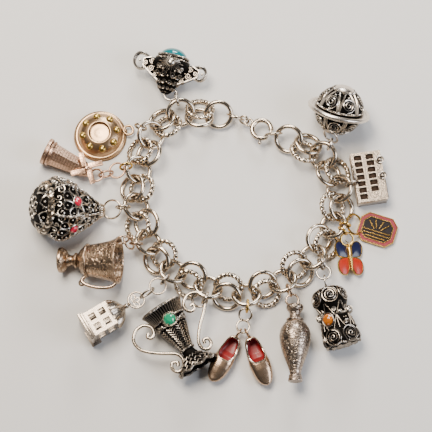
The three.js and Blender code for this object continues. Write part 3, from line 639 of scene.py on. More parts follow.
def stone_courses(tree, place):
    """Chased stonework: stones 1.5 mm long, in courses 0.9 mm high."""
    split = add_node(tree, "ShaderNodeSeparateXYZ", {"Vector": place})
    round_tower = add_node(
        tree, "ShaderNodeMath", {0: split.outputs["Y"], 1: split.outputs["Z"]}, operation="ARCTAN2",
    )
    spread = add_node(tree, "ShaderNodeMath", {0: round_tower.outputs[0]}, {1: 3.2}, operation="MULTIPLY")
    laid = add_node(tree, "ShaderNodeCombineXYZ", {"X": spread.outputs[0], "Y": split.outputs["X"]})
    bricks = add_node(
        tree, "ShaderNodeTexBrick", {"Vector": laid.outputs["Vector"]},
        {"Scale": 1.0, "Brick Width": 1.5, "Row Height": 0.9, "Mortar Size": 0.12, "Mortar Smooth": 0.4},
    )
    return add_node(
        tree, "ShaderNodeMapRange", {"Value": bricks.outputs["Fac"]}, {"To Min": 1.0, "To Max": 0.25},
    ).outputs["Result"]


rose_silver = tarnished_shaded_metal("cast_rose_silver", "#cfa88c", "#4a2c20", 0.3)
chased_rose = tarnished_shaded_metal(
    "chased_rose_silver", "#d6b094", "#4a2c20", 0.3, engraving=stone_courses,
)
mill_at = seat("windmill_tower", 155, -6.3, x=("hi", 16.6), y=("mid", 0), z=("mid", 0))


def at(matrix, *point):
    """A bench point in the bracelet's frame."""
    return matrix[:3, :3] @ np.array(point, float) + matrix[:3, 3]


def soldered(matrix, *pieces):
    """Parts that are placed in the bracelet's frame, carried back to a charm's bench frame."""
    back = np.linalg.inv(matrix)
    return [moved(piece["part"], back) for piece in pieces]


def eight_sided(x, a):
    """Flattens a turned body into eight faces, except on the round cap."""
    if x < 3.0 or x > 14.0:
        return 1.0
    edge = (a % (math.pi / 4)) - math.pi / 8
    return math.cos(math.pi / 8) / math.cos(edge) * 1.04


tower_shape = [
    (3.0, 2.1), (3.1, 2.45), (14.0, 3.6), (14.05, 4.05), (14.4, 4.2), (14.9, 4.05), (14.95, 3.8),
    (15.25, 3.8), (15.3, 4.3), (15.6, 4.45), (16.4, 4.45), (16.6, 4.3), (16.6, 3.7), (15.5, 3.4),
    (15.5, 0.0),
]
mill_cap = smooth_profile([
    (0, 0), (0, 0), (0.1, 0.7), (0.6, 1.4), (1.5, 2.0), (2.4, 2.25), (2.9, 2.55), (3.1, 2.6),
    (3.2, 2.3), (3.2, 2.3), (3.2, 0), (3.2, 0),
], 4)
mill_link_end = at(mill_at, -2.6, 0, 0.7)
mill_jump = jump_ring(7, 200, dip=30)
mill_loop = loop_to(mill_jump, mill_jump["far"] * 0.48 + mill_link_end * 0.52)
mill_loop_2 = loop_to(mill_loop, mill_link_end)
mill_loop_3 = loop_to(mill_loop_2, at(mill_at, 0.3, 0, 0))
make(
    "mill_tower", [turned(tower_shape, 64, eight_sided)], chased_rose,
    ["windmill_tower"], mill_at, crease=22,
)
make(
    "mill_cap_and_links",
    [turned(mill_cap, 40)] + soldered(mill_at, mill_loop, mill_loop_2, mill_loop_3),
    rose_silver, matrix=mill_at,
)


def bevelled_box(size, centre, bevel=0.12, segments=2):
    """A box with rounded edges."""
    made = bmesh.new()
    bmesh.ops.create_cube(made, size=1.0)
    bmesh.ops.scale(made, vec=size, verts=made.verts)
    bmesh.ops.bevel(
        made, geom=made.edges[:], offset=bevel, segments=segments, affect="EDGES", profile=0.5,
    )
    points = np.array([v.co[:] for v in made.verts]) + np.array(centre, float)
    faces = [tuple(v.index for v in f.verts) for f in made.faces]
    made.free()
    return points, faces


SAIL_TURN = 40
SAIL_WIDE = 1.7
sail_middle = np.array([1.9, 0, 3.15])
sails = [moved(turned(smooth_profile([
    (-0.55, 0), (-0.55, 0), (-0.55, 0.7), (-0.3, 0.8), (0.3, 0.8), (0.6, 0.5), (0.7, 0), (0.7, 0),
], 3), 24), Matrix.Translation(sail_middle) @ Matrix.Rotation(-math.pi / 2, 4, "Y"))]
for quarter in range(4):
    turn = Matrix.Rotation(math.radians(SAIL_TURN + 90 * quarter), 4, "Z")
    turn = Matrix.Translation(sail_middle) @ turn
    sails.append(moved(bevelled_box((4.7, SAIL_WIDE, 0.3), (3.0, 0.6, 0), 0.04), turn))
    sails.append(moved(bevelled_box((5.2, 0.3, 0.5), (2.8, 0.1, 0), 0.05, 1), turn))
    for bar in range(5):
        sails.append(moved(
            bevelled_box((0.16, SAIL_WIDE, 0.44), (1.2 + 0.95 * bar, 0.6, 0), 0.04, 1), turn,
        ))
make("mill_sails", sails, rose_silver, ["windmill_sails"], mill_at)

# ------------------------------------------------------------------ ewer
# A small goblet-shaped ewer, turned hollow from silver, with a pulled lip and a wire
# handle, chased with scrolls and left to tone brown.


def chased_scrolls(tree, place):
    """Freehand chased foliage, its cells about 1.6 mm across."""
    wander = add_node(
        tree, "ShaderNodeTexNoise", {"Vector": place}, {"Scale": 0.45, "Detail": 1.0},
    )
    bent = add_node(
        tree, "ShaderNodeVectorMath", {0: place, 1: wander.outputs["Color"]}, operation="ADD",
    )
    cells = add_node(
        tree, "ShaderNodeTexVoronoi", {"Vector": bent.outputs["Vector"]}, {"Scale": 0.62},
        feature="DISTANCE_TO_EDGE",
    )
    waves = add_node(
        tree, "ShaderNodeTexWave", {"Vector": bent.outputs["Vector"]},
        {"Scale": 0.32, "Distortion": 7.0, "Detail": 1.0},
    )
    lines = add_node(
        tree, "ShaderNodeMapRange", {"Value": cells.outputs["Distance"]},
        {"From Min": 0.015, "From Max": 0.075, "To Min": 0.25, "To Max": 1.0},
    )
    strokes = add_node(
        tree, "ShaderNodeMapRange", {"Value": waves.outputs["Fac"]},
        {"From Min": 0.04, "From Max": 0.2, "To Min": 0.4, "To Max": 1.0},
    )
    return add_node(
        tree, "ShaderNodeMath", {0: lines.outputs["Result"], 1: strokes.outputs["Result"]},
        operation="MULTIPLY",
    ).outputs[0]


toned_silver = tarnished_shaded_metal("chased_toned_silver", "#c6a98c", "#3a271b", 0.26, engraving=chased_scrolls)
plain_toned = tarnished_shaded_metal("turned_toned_silver", "#c9ae94", "#3a271b", 0.22)
ewer_at = seat("ewer", 176.5, 10.2, x=("hi", 19.2), y=("hi", 9.16), z=("mid", 0))


def pulled_lip(x, a):
    """Pulls the rim out to a lip on the side towards the chain."""
    aside = math.atan2(math.sin(a - math.pi / 2), math.cos(a - math.pi / 2))
    return 1 + 0.10 * math.exp(-(aside / 0.45) ** 2) * max(0.0, 1 - x / 4.0) ** 2


ewer_outside = smooth_profile([
    (-0.05, 6.85), (-0.05, 6.85), (-0.1, 7.15), (0.1, 7.3), (0.7, 7.05), (2.5, 6.45), (5.0, 5.85),
    (8.0, 5.25), (9.5, 4.95), (9.5, 4.95), (9.7, 5.3), (10.2, 5.4), (10.6, 5.1), (10.6, 5.1),
    (10.8, 4.75), (11.6, 4.1), (12.5, 2.9), (13.2, 1.9), (13.2, 1.9), (13.4, 2.3), (13.9, 2.4),
    (14.3, 2.0), (14.3, 2.0), (14.7, 1.6), (15.6, 1.65), (16.5, 2.2), (17.2, 3.3), (17.9, 3.9),
    (17.9, 3.9), (18.2, 4.05), (19.0, 4.05), (19.15, 3.9), (19.15, 3.9), (19.0, 3.2), (18.4, 0), (18.4, 0),
], 4)
ewer_inside = smooth_profile([
    (-0.05, 6.85), (-0.05, 6.85), (0.5, 6.5), (3.0, 5.7), (6.0, 4.8), (8.4, 3.9), (9.2, 2.2), (9.4, 0),
    (9.4, 0),
], 4)
ewer_jump = jump_ring(11, 172, turn=-12)
ewer_loops = links_to(ewer_jump, at(ewer_at, 0.4, -6.9, 2.2), 2)
handle_path = smooth_profile([
    (10.4, 5.2), (10.4, 5.2), (11.4, 6.7), (9.2, 8.1), (5.0, 8.75), (1.7, 8.3), (0.4, 7.2), (0.4, 7.2),
], 7)
handle_points = [(x, y, 0) for x, y in handle_path]
curl = [
    (11.2 + 0.9 * math.cos(a) * (1 - a / 9), 7.4 + 0.9 * math.sin(a) * (1 - a / 9), 0)
    for a in np.linspace(-2.0, 4.2, 22)
]
make("ewer_bowl", [turned(ewer_outside, 64, pulled_lip), turned(ewer_inside[::-1], 64, pulled_lip)],
     toned_silver, ["ewer"], ewer_at)
make(
    "ewer_handle",
    [tube(handle_points, 0.55, 10), tube(curl, 0.34, 8)] + soldered(ewer_at, ewer_jump, *ewer_loops),
    plain_toned, matrix=ewer_at,
)

# ------------------------------------------------------------------ vase
# A slender covered vase of silver, turned on a lathe and chased all over with foliage. It
# has toned to a cooler grey than the ewer, and hangs by a loop soldered on its stopper.
vase_at = seat("vase", -90.5, -4, x=("hi", 24.8), y=("mid", 0), z=("mid", 0))
vase_jump = jump_ring(19, 285)
vase_loop = loop_to(vase_jump, at(vase_at, 0.4, 0, 0), soldered=True)
vase_profile = smooth_profile([
    (0, 0), (0, 0), (0.05, 2.0), (0.3, 2.55), (1.1, 2.7), (1.7, 2.5), (2.4, 1.95), (3.4, 1.7),
    (4.4, 1.85), (4.4, 1.85), (4.6, 2.5), (5.0, 2.75), (5.4, 2.6), (5.4, 2.6), (6.0, 3.2), (7.4, 4.2),
    (9.0, 4.8), (10.4, 4.95), (12.5, 4.75), (15.5, 4.0), (18.5, 2.9), (21.0, 2.0), (22.6, 1.65),
    (22.6, 1.65), (22.9, 2.0), (23.6, 2.05), (24.0, 2.2), (24.7, 2.25), (24.8, 2.1), (24.8, 2.1),
    (24.6, 0), (24.6, 0),
], 4)
grey_silver = tarnished_shaded_metal("chased_grey_silver", "#b5a392", "#2e221b", 0.27, engraving=chased_scrolls)
make(
    "vase_body", [turned(vase_profile, 64)], grey_silver, ["vase"], vase_at,
)
make("vase_loop", soldered(vase_at, vase_jump, vase_loop), plain_toned, matrix=vase_at)

# ------------------------------------------------------------------ house
# A square tea-house, built up from bright silver sheet: open barred windows on all four
# sides, a ribbed round roof with a finial, a weather vane and a stepped floor.
bright_silver = tarnished_shaded_metal("soldered_satin_silver", "#bbad9d", "#32241a", 0.25, reach=2.4, pits=0.14)


def pierced_plate(xs, ys, holes, thick):
    """A plate on a grid of `xs` by `ys` lines, its top at z = 0, with some cells left open."""
    points, faces = [], []

    def corner(i, j, z):
        points.append((xs[i], ys[j], z))
        return len(points) - 1

    def cell(i, j):
        inside = 0 <= i < len(xs) - 1 and 0 <= j < len(ys) - 1
        return inside and (i, j) not in holes

    for i in range(len(xs) - 1):
        for j in range(len(ys) - 1):
            if not cell(i, j):
                continue
            ring = ((i, j), (i + 1, j), (i + 1, j + 1), (i, j + 1))
            faces.append([corner(*c, 0) for c in ring])
            faces.append([corner(*c, -thick) for c in ring][::-1])
            beside = ((i, j - 1), (i + 1, j), (i, j + 1), (i - 1, j))
            for k in range(4):
                if not cell(*beside[k]):
                    p, q = ring[k], ring[(k + 1) % 4]
                    faces.append([corner(*p, -thick), corner(*q, -thick), corner(*q, 0), corner(*p, 0)])
    return np.array(points, float), faces


house_at = seat("house", 211, x=("hi", 14.2), y=("mid", 0), z=("mid", 0))
WALL = 8.0
EAVE = 4.4
FLOOR = 12.6
house_parts = []
for side_turn in range(4):
    turn = Matrix.Rotation(math.pi / 2 * side_turn, 4, "X")
    wall_z = WALL / 2 - 0.25
    wall = pierced_plate(
        (EAVE, 5.8, 8.0, 9.2, 11.4, FLOOR), (-WALL / 2, -2.85, -0.65, 0.65, 2.85, WALL / 2),
        [(i, j) for i in (1, 3) for j in (1, 3)], 0.7,
    )
    house_parts.append(moved(wall, turn @ Matrix.Translation((0, 0, wall_z + 0.3))))


def ribbed(x, a):
    """Twelve ribs run down the roof."""
    return 0.93 + 0.1 * abs(math.cos(6 * a)) ** 4


roof_profile = smooth_profile([
    (-0.3, 0), (-0.3, 0), (-0.2, 0.5), (0.3, 1.3), (1.2, 2.8), (2.4, 4.0), (3.6, 4.7), (4.3, 4.95),
    (4.3, 4.95), (4.7, 5.0), (4.75, 4.7), (4.75, 4.7), (4.75, 0), (4.75, 0),
], 4)
house_parts.append(turned(roof_profile, 96, ribbed))
house_parts.append(bevelled_box((0.9, 9.4, 9.4), (13.75, 0, 0), 0.2))
house_parts.append(bevelled_box((0.8, 8.7, 8.7), (12.95, 0, 0), 0.15))
house_parts.append(bevelled_box((3.4, 5.6, 0.5), (13.0, 2.4, -3.9), 0.1))
house_parts.append(ball((-0.8, 0, 0), 0.85, 16))
house_parts.append(ball((-1.9, 0, 0), 0.55, 14))
house_jump = jump_ring(13, 225, dip=40)
house_loops = links_to(house_jump, at(house_at, -1.9, 0, 0), 3)
for petal in range(3):
    a = math.radians(-60 + 60 * petal)
    reach = np.array([-math.cos(a) * 1.9, math.sin(a) * 1.9, 0])
    path = [np.array([-3.2, 0, 0]) + reach * t + np.array([reach[1], -reach[0], 0]) * w
            for t, w in ((0, 0), (0.5, 0.32), (1.0, 0.3), (1.25, 0), (1.0, -0.3), (0.5, -0.32))]
    house_parts.append(tube(path, 0.26, 6, True))
make(
    "house_hut", house_parts + soldered(house_at, house_jump, *house_loops), bright_silver,
    ["house"], house_at, crease=30,
)

# ------------------------------------------------------------------ lantern
# A six-lobed filigree lantern: drawn silver wire over a near-black core of painted shade, with a red
# stone or a plain boss in a bezel on each facet, a cable band, a crown and a fluted cap.
def scroll(x, y, r, turns, start=0.0, hand=1, eye=0.12):
    """A flat spiral of wire, wound in from its rim, as (x, y) points."""
    t = np.linspace(0, 1, int(11 * turns) + 2)
    a = math.radians(start) + hand * 2 * math.pi * turns * t
    k = r * (1 - (1 - eye) * t)
    return np.stack([x + k * np.cos(a), y + k * np.sin(a)], 1)


def drop_loop(x, y, heading, length, width, steps=16):
    """A teardrop of wire with its point at (x, y) and its round end `length` away."""
    t = np.linspace(0, 2 * math.pi, steps, endpoint=False)
    along = length * (1 - np.cos(t)) / 2
    across = 0.62 * width * np.sin(t) * np.sin(t / 2)
    c, n = math.cos(math.radians(heading)), math.sin(math.radians(heading))
    return np.stack([x + along * c - across * n, y + along * n + across * c], 1)


def radius_of(profile, ripple=None):
    """The radius of a turned body at x, at angle a round it."""
    xs = [row[0] for row in profile]
    rs = [row[1] for row in profile]
    return lambda x, a: float(np.interp(x, xs, rs)) * (ripple(x, a) if ripple else 1.0)


def wrap(points, radius, lift=0.0, turn=0.0, flat=1.0):
    """Lays flat (along, round) points on a turned body, `turn` degrees round from its top."""
    out = []
    for x, y in points:
        a = math.radians(turn) + y / max(radius(x, 0.0), 0.5)
        r = radius(x, a) + lift
        out.append((x, -r * math.sin(a), r * math.cos(a) * flat))
    return np.array(out)


def rope(path, r, pitch, closed=False, hint=(0.9, 0.31, 0.3)):
    """Two round wires of radius `r` twisted together along a path."""
    path = np.array(path, float)
    whole = np.vstack([path, path[:1]]) if closed else path
    steps = np.linalg.norm(np.diff(whole, axis=0), axis=1)
    travelled = np.concatenate([[0], np.cumsum(steps)])
    count = max(8, int(travelled[-1] / pitch * 7))
    ticks = np.linspace(0, travelled[-1], count, endpoint=not closed)
    line = np.stack([np.interp(ticks, travelled, whole[:, k]) for k in range(3)], 1)
    if closed:
        ahead = np.roll(line, -1, 0) - np.roll(line, 1, 0)
    else:
        ahead = np.gradient(line, axis=0)
    ahead /= np.linalg.norm(ahead, axis=1)[:, None]
    side = np.cross(ahead, hint)
    side /= np.linalg.norm(side, axis=1)[:, None]
    top = np.cross(ahead, side)
    turns = max(1, round(travelled[-1] / pitch))
    a = 2 * math.pi * turns * ticks / travelled[-1]
    strands = []
    for half in (0.0, math.pi):
        spin = side * np.cos(a + half)[:, None] + top * np.sin(a + half)[:, None]
        strands.append(tube(line + spin * r, r, 6, closed))
    return strands


def rope_ring(x, r, thick, pitch, corners, flat=1.0, ripple=0.0):
    """A cable edging round a body at x; `ripple` waves it back and forth nine times."""
    loop = [
        (x + ripple * math.cos(9 * a), r * math.cos(a), r * math.sin(a) * flat)
        for a in np.linspace(0, 2 * math.pi, corners + 1)[:-1]
    ]
    return rope(loop, thick, pitch, True, hint=(1.0, 0.02, 0.01))


def grains(spots, r):
    """Tiny beads of granulation at the given points."""
    return [ball(spot, r, 8) for spot in spots]


FINE = 0.21
bright_wire = tarnished_shaded_metal("drawn_filigree_wire", "#c8beb1", "#2a221c", 0.22, reach=0.6, depth=0.65)
# Near-black sheet inside the filigree charms: painted shade for the dark seen through the openwork.
shade_backing_sheet = tarnished_shaded_metal("painted_shade_backing", "#141210", "#040404", 0.6, reach=1.0)
LANTERN_SLOPE = math.degrees(math.atan2((10.5 - 7.9) * math.cos(math.pi / 6), 5.0))
lantern_at = seat("lantern", 183, -LANTERN_SLOPE, x=("hi", 24.0), y=("mid", 0), z=("mid", 0))


def six_lobed(x, a):
    """Six flat facets whose seams are softened into lobes."""
    edge = (a + math.pi / 6) % (math.pi / 3) - math.pi / 6
    return 0.35 + 0.65 * math.cos(math.pi / 6) / math.cos(edge) if x < 20.2 else 1.0


lantern_rows = [
    (1.9, 0.0), (2.0, 2.1), (2.4, 2.5), (5.5, 5.1), (9.5, 7.7), (12.0, 9.1), (14.3, 10.1),
    (16.0, 10.2), (17.2, 9.9), (18.8, 8.7), (19.6, 7.4), (19.9, 6.6), (20.8, 6.5), (21.4, 6.7),
    (22.4, 6.3), (23.3, 5.2), (23.8, 3.8), (23.9, 2.0), (23.9, 0.0),
]
lantern_r = radius_of(lantern_rows[1:-1], six_lobed)
# The lantern's body is near-black sheet: painted shade inside the openwork.
make(
    "lantern_shade_core", [turned(lantern_rows, 72, six_lobed)], shade_backing_sheet,
    ["lantern"], lantern_at, crease=24,
)
lantern_wire = []
STONE_X = 12.2
for panel in range(6):
    turn = 60 * panel
    flat_paths = []
    for petal in range(8):
        heading = 22.5 + 45 * petal
        c, n = math.cos(math.radians(heading)), math.sin(math.radians(heading))
        x, y = STONE_X + 1.8 * c, 1.8 * n
        flat_paths.append((drop_loop(x, y, heading, 3.4, 2.9), True))
    for hand in (-1, 1):
        flat_paths += [
            (scroll(17.6, 3.6 * hand, 1.35, 1.25, 90, hand), False),
            (scroll(18.3, 1.15 * hand, 1.05, 1.2, 0, -hand), False),
            (scroll(6.8, 1.5 * hand, 1.1, 1.25, 180, hand), False),
            (scroll(4.6, 0.85 * hand, 0.75, 1.1, 0, -hand), False),
        ]
    for points, closed in flat_paths:
        lantern_wire.append(tube(wrap(points, lantern_r, 0.12, turn), FINE, 6, closed))
    seam = [(x, 0.0) for x in (2.6, 5.5, 9.5, 12.0, 14.3, 16.0, 17.2, 18.8, 19.6)]
    lantern_wire += rope(wrap(seam, lantern_r, 0.15, turn + 30), 0.2, 1.1, hint=(0, 0.3, 0.9))
    for spot in ((7.0, 0), (16.9, 2.5), (16.9, -2.5), (16.8, 0), (12.2, 5.0), (12.2, -5.0), (3.6, 0)):
        lantern_wire += grains(wrap([spot], lantern_r, 0.2, turn), 0.28)
    bezel = wrap(circle(1.6, 20, (STONE_X, 0, 0))[:, :2], lantern_r, 0.45, turn)
    lantern_wire.append(tube(bezel, 0.24, 8, True))
    petal_eyes = circle(1.8 + 2.2, 8, (STONE_X, 0, 0), math.radians(22.5))[:, :2]
    lantern_wire += grains(wrap(petal_eyes, lantern_r, 0.15, turn), 0.3)
lantern_wire += rope_ring(2.6, 2.75, 0.2, 1.0, 59)
make(
    "lantern_cable", rope_ring(20.3, 7.45, 0.6, 3.8, 60), sterling,
    matrix=lantern_at,
)
for unit in range(8):
    turn = 45 * unit
    lantern_wire.append(tube(wrap(drop_loop(23.5, 0, 180, 2.5, 4.2), lantern_r, 0.2, turn), 0.28, 6, True))
    lantern_wire.append(tube(wrap(scroll(21.9, 2.6, 0.8, 1.1), lantern_r, 0.2, turn), 0.24, 6))
    lantern_wire += grains(wrap([(22.3, 0)], lantern_r, 0.15, turn), 0.42)
    a = math.pi / 4 * unit
    flower = drop_loop(1.0 * math.cos(a), 1.0 * math.sin(a), 45 * unit, 2.6, 1.9)
    lantern_wire.append(tube([(24.0, p, q) for p, q in flower], 0.25, 6, True))
lantern_wire.append(ball((23.95, 0, 0), 1.1, 14))
make("lantern_filigree", lantern_wire, bright_wire, matrix=lantern_at)


def fluted(x, a):
    """Eighteen flutes."""
    return 0.94 + 0.08 * abs(math.cos(9 * a))


cap_rows = smooth_profile([
    (0.0, 0), (0.0, 0), (0.05, 1.2), (0.35, 1.85), (0.8, 2.25), (1.6, 2.5), (2.1, 2.5), (2.3, 2.2),
    (2.3, 2.2), (2.3, 0), (2.3, 0),
], 4)
lantern_jump = jump_ring(9, 180, r=2.2)
lantern_bail = loop_to(lantern_jump, at(lantern_at, 0.4, 0, 0))
make(
    "lantern_cap", [turned(cap_rows, 72, fluted)] + soldered(lantern_at, lantern_bail), sterling,
    matrix=lantern_at,
)


def gem_glass(name, colour, clear=0.35):
    """Cut or domed glass over foil: saturated colour under a hard glossy skin."""
    made = bpy.data.materials.new(name)
    made.use_nodes = True
    tree = made.node_tree
    shader = tree.nodes["Principled BSDF"]
    tint = add_node(tree, "ShaderNodeTexNoise", values={"Scale": 900.0, "Detail": 2.0})
    shade = add_node(tree, "ShaderNodeMix", {0: tint.outputs["Fac"]}, data_type="RGBA")
    shade.inputs["A"].default_value = linear(colour)
    shade.inputs["B"].default_value = [min(1.0, 1.9 * c) for c in linear(colour)[:3]] + [1.0]
    tree.links.new(shade.outputs["Result"], shader.inputs["Base Color"])
    shader.inputs["Roughness"].default_value = 0.06
    shader.inputs["IOR"].default_value = 1.62
    shader.inputs["Transmission Weight"].default_value = clear
    shader.inputs["Coat Weight"].default_value = 0.6
    shader.inputs["Coat Roughness"].default_value = 0.03
    return made


def cut_stone(r, height):
    """A round faceted stone on z = 0: rows of ten facets under a flat table."""
    rows = [
        (0.0, 0.01), (0.0, r), (height * 0.3, r * 0.98), (height * 0.75, r * 0.72), (height, r * 0.45),
        (height, 0.01),
    ]
    points, faces = [], []
    for k, (z, q) in enumerate(rows):
        for j in range(10):
            a = math.pi * (2 * j + k) / 10
            points.append((q * math.cos(a), q * math.sin(a), z))
    for k in range(len(rows) - 1):
        for j in range(10):
            i = (j + 1) % 10
            a, b = k * 10, (k + 1) * 10
            faces.append((a + j, a + i, b + j))
            faces.append((a + i, b + i, b + j))
    return np.array(points), faces


ruby_glass = gem_glass("foiled_red_glass", "#c01a3c")
for node, turn in (("lantern_stone_top", 0), ("lantern_stone_side", 60)):
    lifted = Matrix.Rotation(math.radians(-turn), 4, "X") @ Matrix.Translation(
        wrap([(STONE_X, 0)], lantern_r, 0.5)[0]
    ) @ Matrix.Rotation(math.radians(-LANTERN_SLOPE), 4, "Y")
    make(
        node + "_cut", [moved(cut_stone(1.42, 0.95), lifted)], ruby_glass, [node],
        lantern_at, crease=5,
    )
# The other four facets carry a plain domed boss in the same bezel.
make(
    "lantern_bosses",
    [ball(wrap([(STONE_X, 0)], lantern_r, -0.9, turn)[0], 1.35, 16) for turn in (120, 180, 240, 300)],
    bright_wire, matrix=lantern_at,
)

# ------------------------------------------------------------------ teal fob
# A flattened filigree bell with two wings that end in wire loops. Wires ray round a boss,
# and a polished teal cabochon closes the wide end in a rope-edged bezel.
FLAT = 0.78


def slab(outline, low, high, inset=0.0, dome=0.0):
    """A plate from an outline, its top edge set in and its middle raised."""
    outline = np.array(outline, float)
    middle = outline.mean(0)
    away = outline - middle
    size = np.linalg.norm(away, axis=1)[:, None]
    inner = middle + away * (1 - inset / size)
    count = len(outline)
    points = [(p, q, low) for p, q in outline] + [(p, q, high - inset * 0.5) for p, q in outline]
    points += [(p, q, high) for p, q in inner] + [(middle[0], middle[1], high + dome)]
    points.append((middle[0], middle[1], low))
    faces = []
    for i in range(count):
        j = (i + 1) % count
        faces += [
            (i, j, count + j, count + i),
            (count + i, count + j, 2 * count + j, 2 * count + i),
            (2 * count + i, 2 * count + j, 3 * count),
            (j, i, 3 * count + 1),
        ]
    return np.array(points), faces


oxidised_wire = tarnished_shaded_metal("oxidised_filigree_wire", "#a59a8d", "#1c1613", 0.26, reach=0.7, depth=0.75)
fob_rows = [
    (0.0, 0.0), (0.05, 1.3), (1.5, 2.4), (3.5, 3.6), (6.0, 5.1), (8.0, 6.2), (9.4, 6.5), (10.4, 6.1),
    (11.2, 5.4), (11.7, 4.8), (12.4, 4.7), (12.4, 0.0),
]
fob_r = radius_of(fob_rows[1:11])
squash = Matrix.Scale(FLAT, 4, (0, 0, 1))
fob_at = seat("teal_cabochon", 76, -8, x=("lo", 12.7), y=("mid", 0), z=("mid", 0))
# The bell's core is near-black sheet: painted shade inside the openwork.
make(
    "fob_shade_core", [moved(turned(smooth_profile(fob_rows, 3), 48), squash)], shade_backing_sheet,
    ["teal_fob"], fob_at,
)
fob_wire = []
BOSS = (9.6, 0.0)
for lap, spokes, inner, outer in ((0, 24, 1.35, 3.0), (1, 18, 3.15, 4.1)):
    for turn in (0, 180):
        for k in range(spokes):
            a = 2 * math.pi * (k + 0.5 * lap) / spokes
            c, n = math.cos(a), math.sin(a)
            # The outer lap stops short of the cabochon's bezel.
            if lap and c > 0.3:
                continue
            spoke = [(BOSS[0] + q * c * 0.85, q * n) for q in np.linspace(inner, outer, 4)]
            fob_wire.append(tube(wrap(spoke, fob_r, 0.25 - 0.05 * lap, turn, FLAT), 0.18, 5))
for turn in (0, 60, 120, 180, 240, 300):
    for hand in (-1, 1):
        for x, y, r in ((5.9, 1.5, 1.1), (3.6, 0.95, 0.8), (8.1, 2.6, 0.95), (1.7, 0.6, 0.5)):
            points = scroll(x, y * hand, r, 1.5, 90 * hand, hand)
            fob_wire.append(tube(wrap(points, fob_r, 0.15, turn, FLAT), 0.21, 6))
    for spot in ((5.4, 0), (7.4, 0), (3.4, 0), (7.2, 2.0), (7.2, -2.0)):
        fob_wire += grains(wrap([spot], fob_r, 0.15, turn, FLAT), 0.27)
for x, r, thick in ((12.3, 4.85, 0.24), (11.2, 5.35, 0.2), (0.6, 1.3, 0.22)):
    fob_wire += rope_ring(x, r, thick, 1.2, 39, FLAT)
arms = []
wings = []
for hand, reach, wide in ((1, 6.4, 5.4), (-1, 5.8, 4.6)):
    outline = [(3.6, 3.2), (5.6, 6.4), (7.4, 9.0), (9.6, 9.2), (10.6, 6.8), (10.8, 4.0)]
    outline = [(x, y * hand) for x, y in outline]
    wings.append(slab(outline if hand > 0 else outline[::-1], -1.3, 1.3, 0.5, 0.5))
    for lift in (0.9, -0.9):
        loop = drop_loop(8.9, 5.8 * hand, 90 * hand, reach, wide, 26)
        arms.append(tube([(p, q, lift) for p, q in loop], 0.45, 8, True))
    for x, y, r in ((9.4, 6.2, 1.0), (7.0, 6.2, 1.1), (8.4, 8.3, 0.8), (5.2, 4.4, 0.8)):
        coil = scroll(x, y * hand, r, 1.7, 90 * hand, hand)
        fob_wire.append(tube([(p, q, 1.7) for p, q in coil], 0.17, 6))
        fob_wire.append(tube([(p, q, -1.7) for p, q in coil], 0.17, 6))
    arms.append(tube([(x, y, 1.3) for x, y in outline[:5]], 0.28, 6))
    arms += grains([(8.9, 10.4 * hand, 0.4), (6.6, 8.4 * hand, 1.4)], 0.45)
# The wings are near-black plates: painted shade seen through the wing loops.
make("fob_wings", wings, shade_backing_sheet, matrix=fob_at)
make("fob_filigree", fob_wire, oxidised_wire, matrix=fob_at)
arms.append(ball((BOSS[0], BOSS[1], fob_r(BOSS[0], 0) * FLAT + 0.1), 1.45, 20, (1, 1, 0.7)))
arms.append(ball((BOSS[0], BOSS[1], -fob_r(BOSS[0], 0) * FLAT + 0.5), 1.45, 20, (1, 1, 0.7)))
fob_jump = jump_ring(3, 105)
fob_bail = loop_to(fob_jump, at(fob_at, 0.4, 0, 0), soldered=True)
make(
    "fob_arms_and_loop", arms + soldered(fob_at, fob_jump, fob_bail), bright_wire,
    matrix=fob_at,
)
teal_stone = gem_glass("polished_teal_glass", "#0d565c", 0.0)
cabochon = smooth_profile([
    (0.0, 0), (0.0, 0), (0.0, 4.2), (0.3, 4.3), (1.1, 3.9), (1.9, 3.0), (2.5, 1.7), (2.7, 0), (2.7, 0),
], 5)
stone_move = squash @ Matrix.Translation((12.55, 0, 0))
make(
    "fob_cabochon", [moved(turned(cabochon, 48), stone_move)], teal_stone,
    ["teal_cabochon"], fob_at,
)

# ------------------------------------------------------------------ amphora
# A flattened filigree jug: a fluted collar, scrolls and beaded chevrons over a near-black
# core of painted shade, a zigzag foot, two handles of thick bright wire curled at both ends, and a green
# stone.
JUG_FLAT = 0.72
EDGE_CORNERS = 89    # corners of a cable edging before its strands are laid


def rosette(x, r, flat):
    """A flower of wire loops and coils on the flat end of a turned body."""
    petals = 8
    wires = []
    for k in range(petals):
        a = 2 * math.pi * k / petals
        shapes = [drop_loop(0, 0, math.degrees(a), r * 0.66, r * 0.5)]
        c, n = math.cos(a + math.pi / petals), math.sin(a + math.pi / petals)
        shapes.append(scroll(r * 0.78 * c, r * 0.78 * n, r * 0.2, 1.4, math.degrees(a), 1))
        for shape, closed in zip(shapes, (True, False)):
            wires.append(tube([(x, p, q * flat) for p, q in shape], 0.19, 6, closed))
    return wires


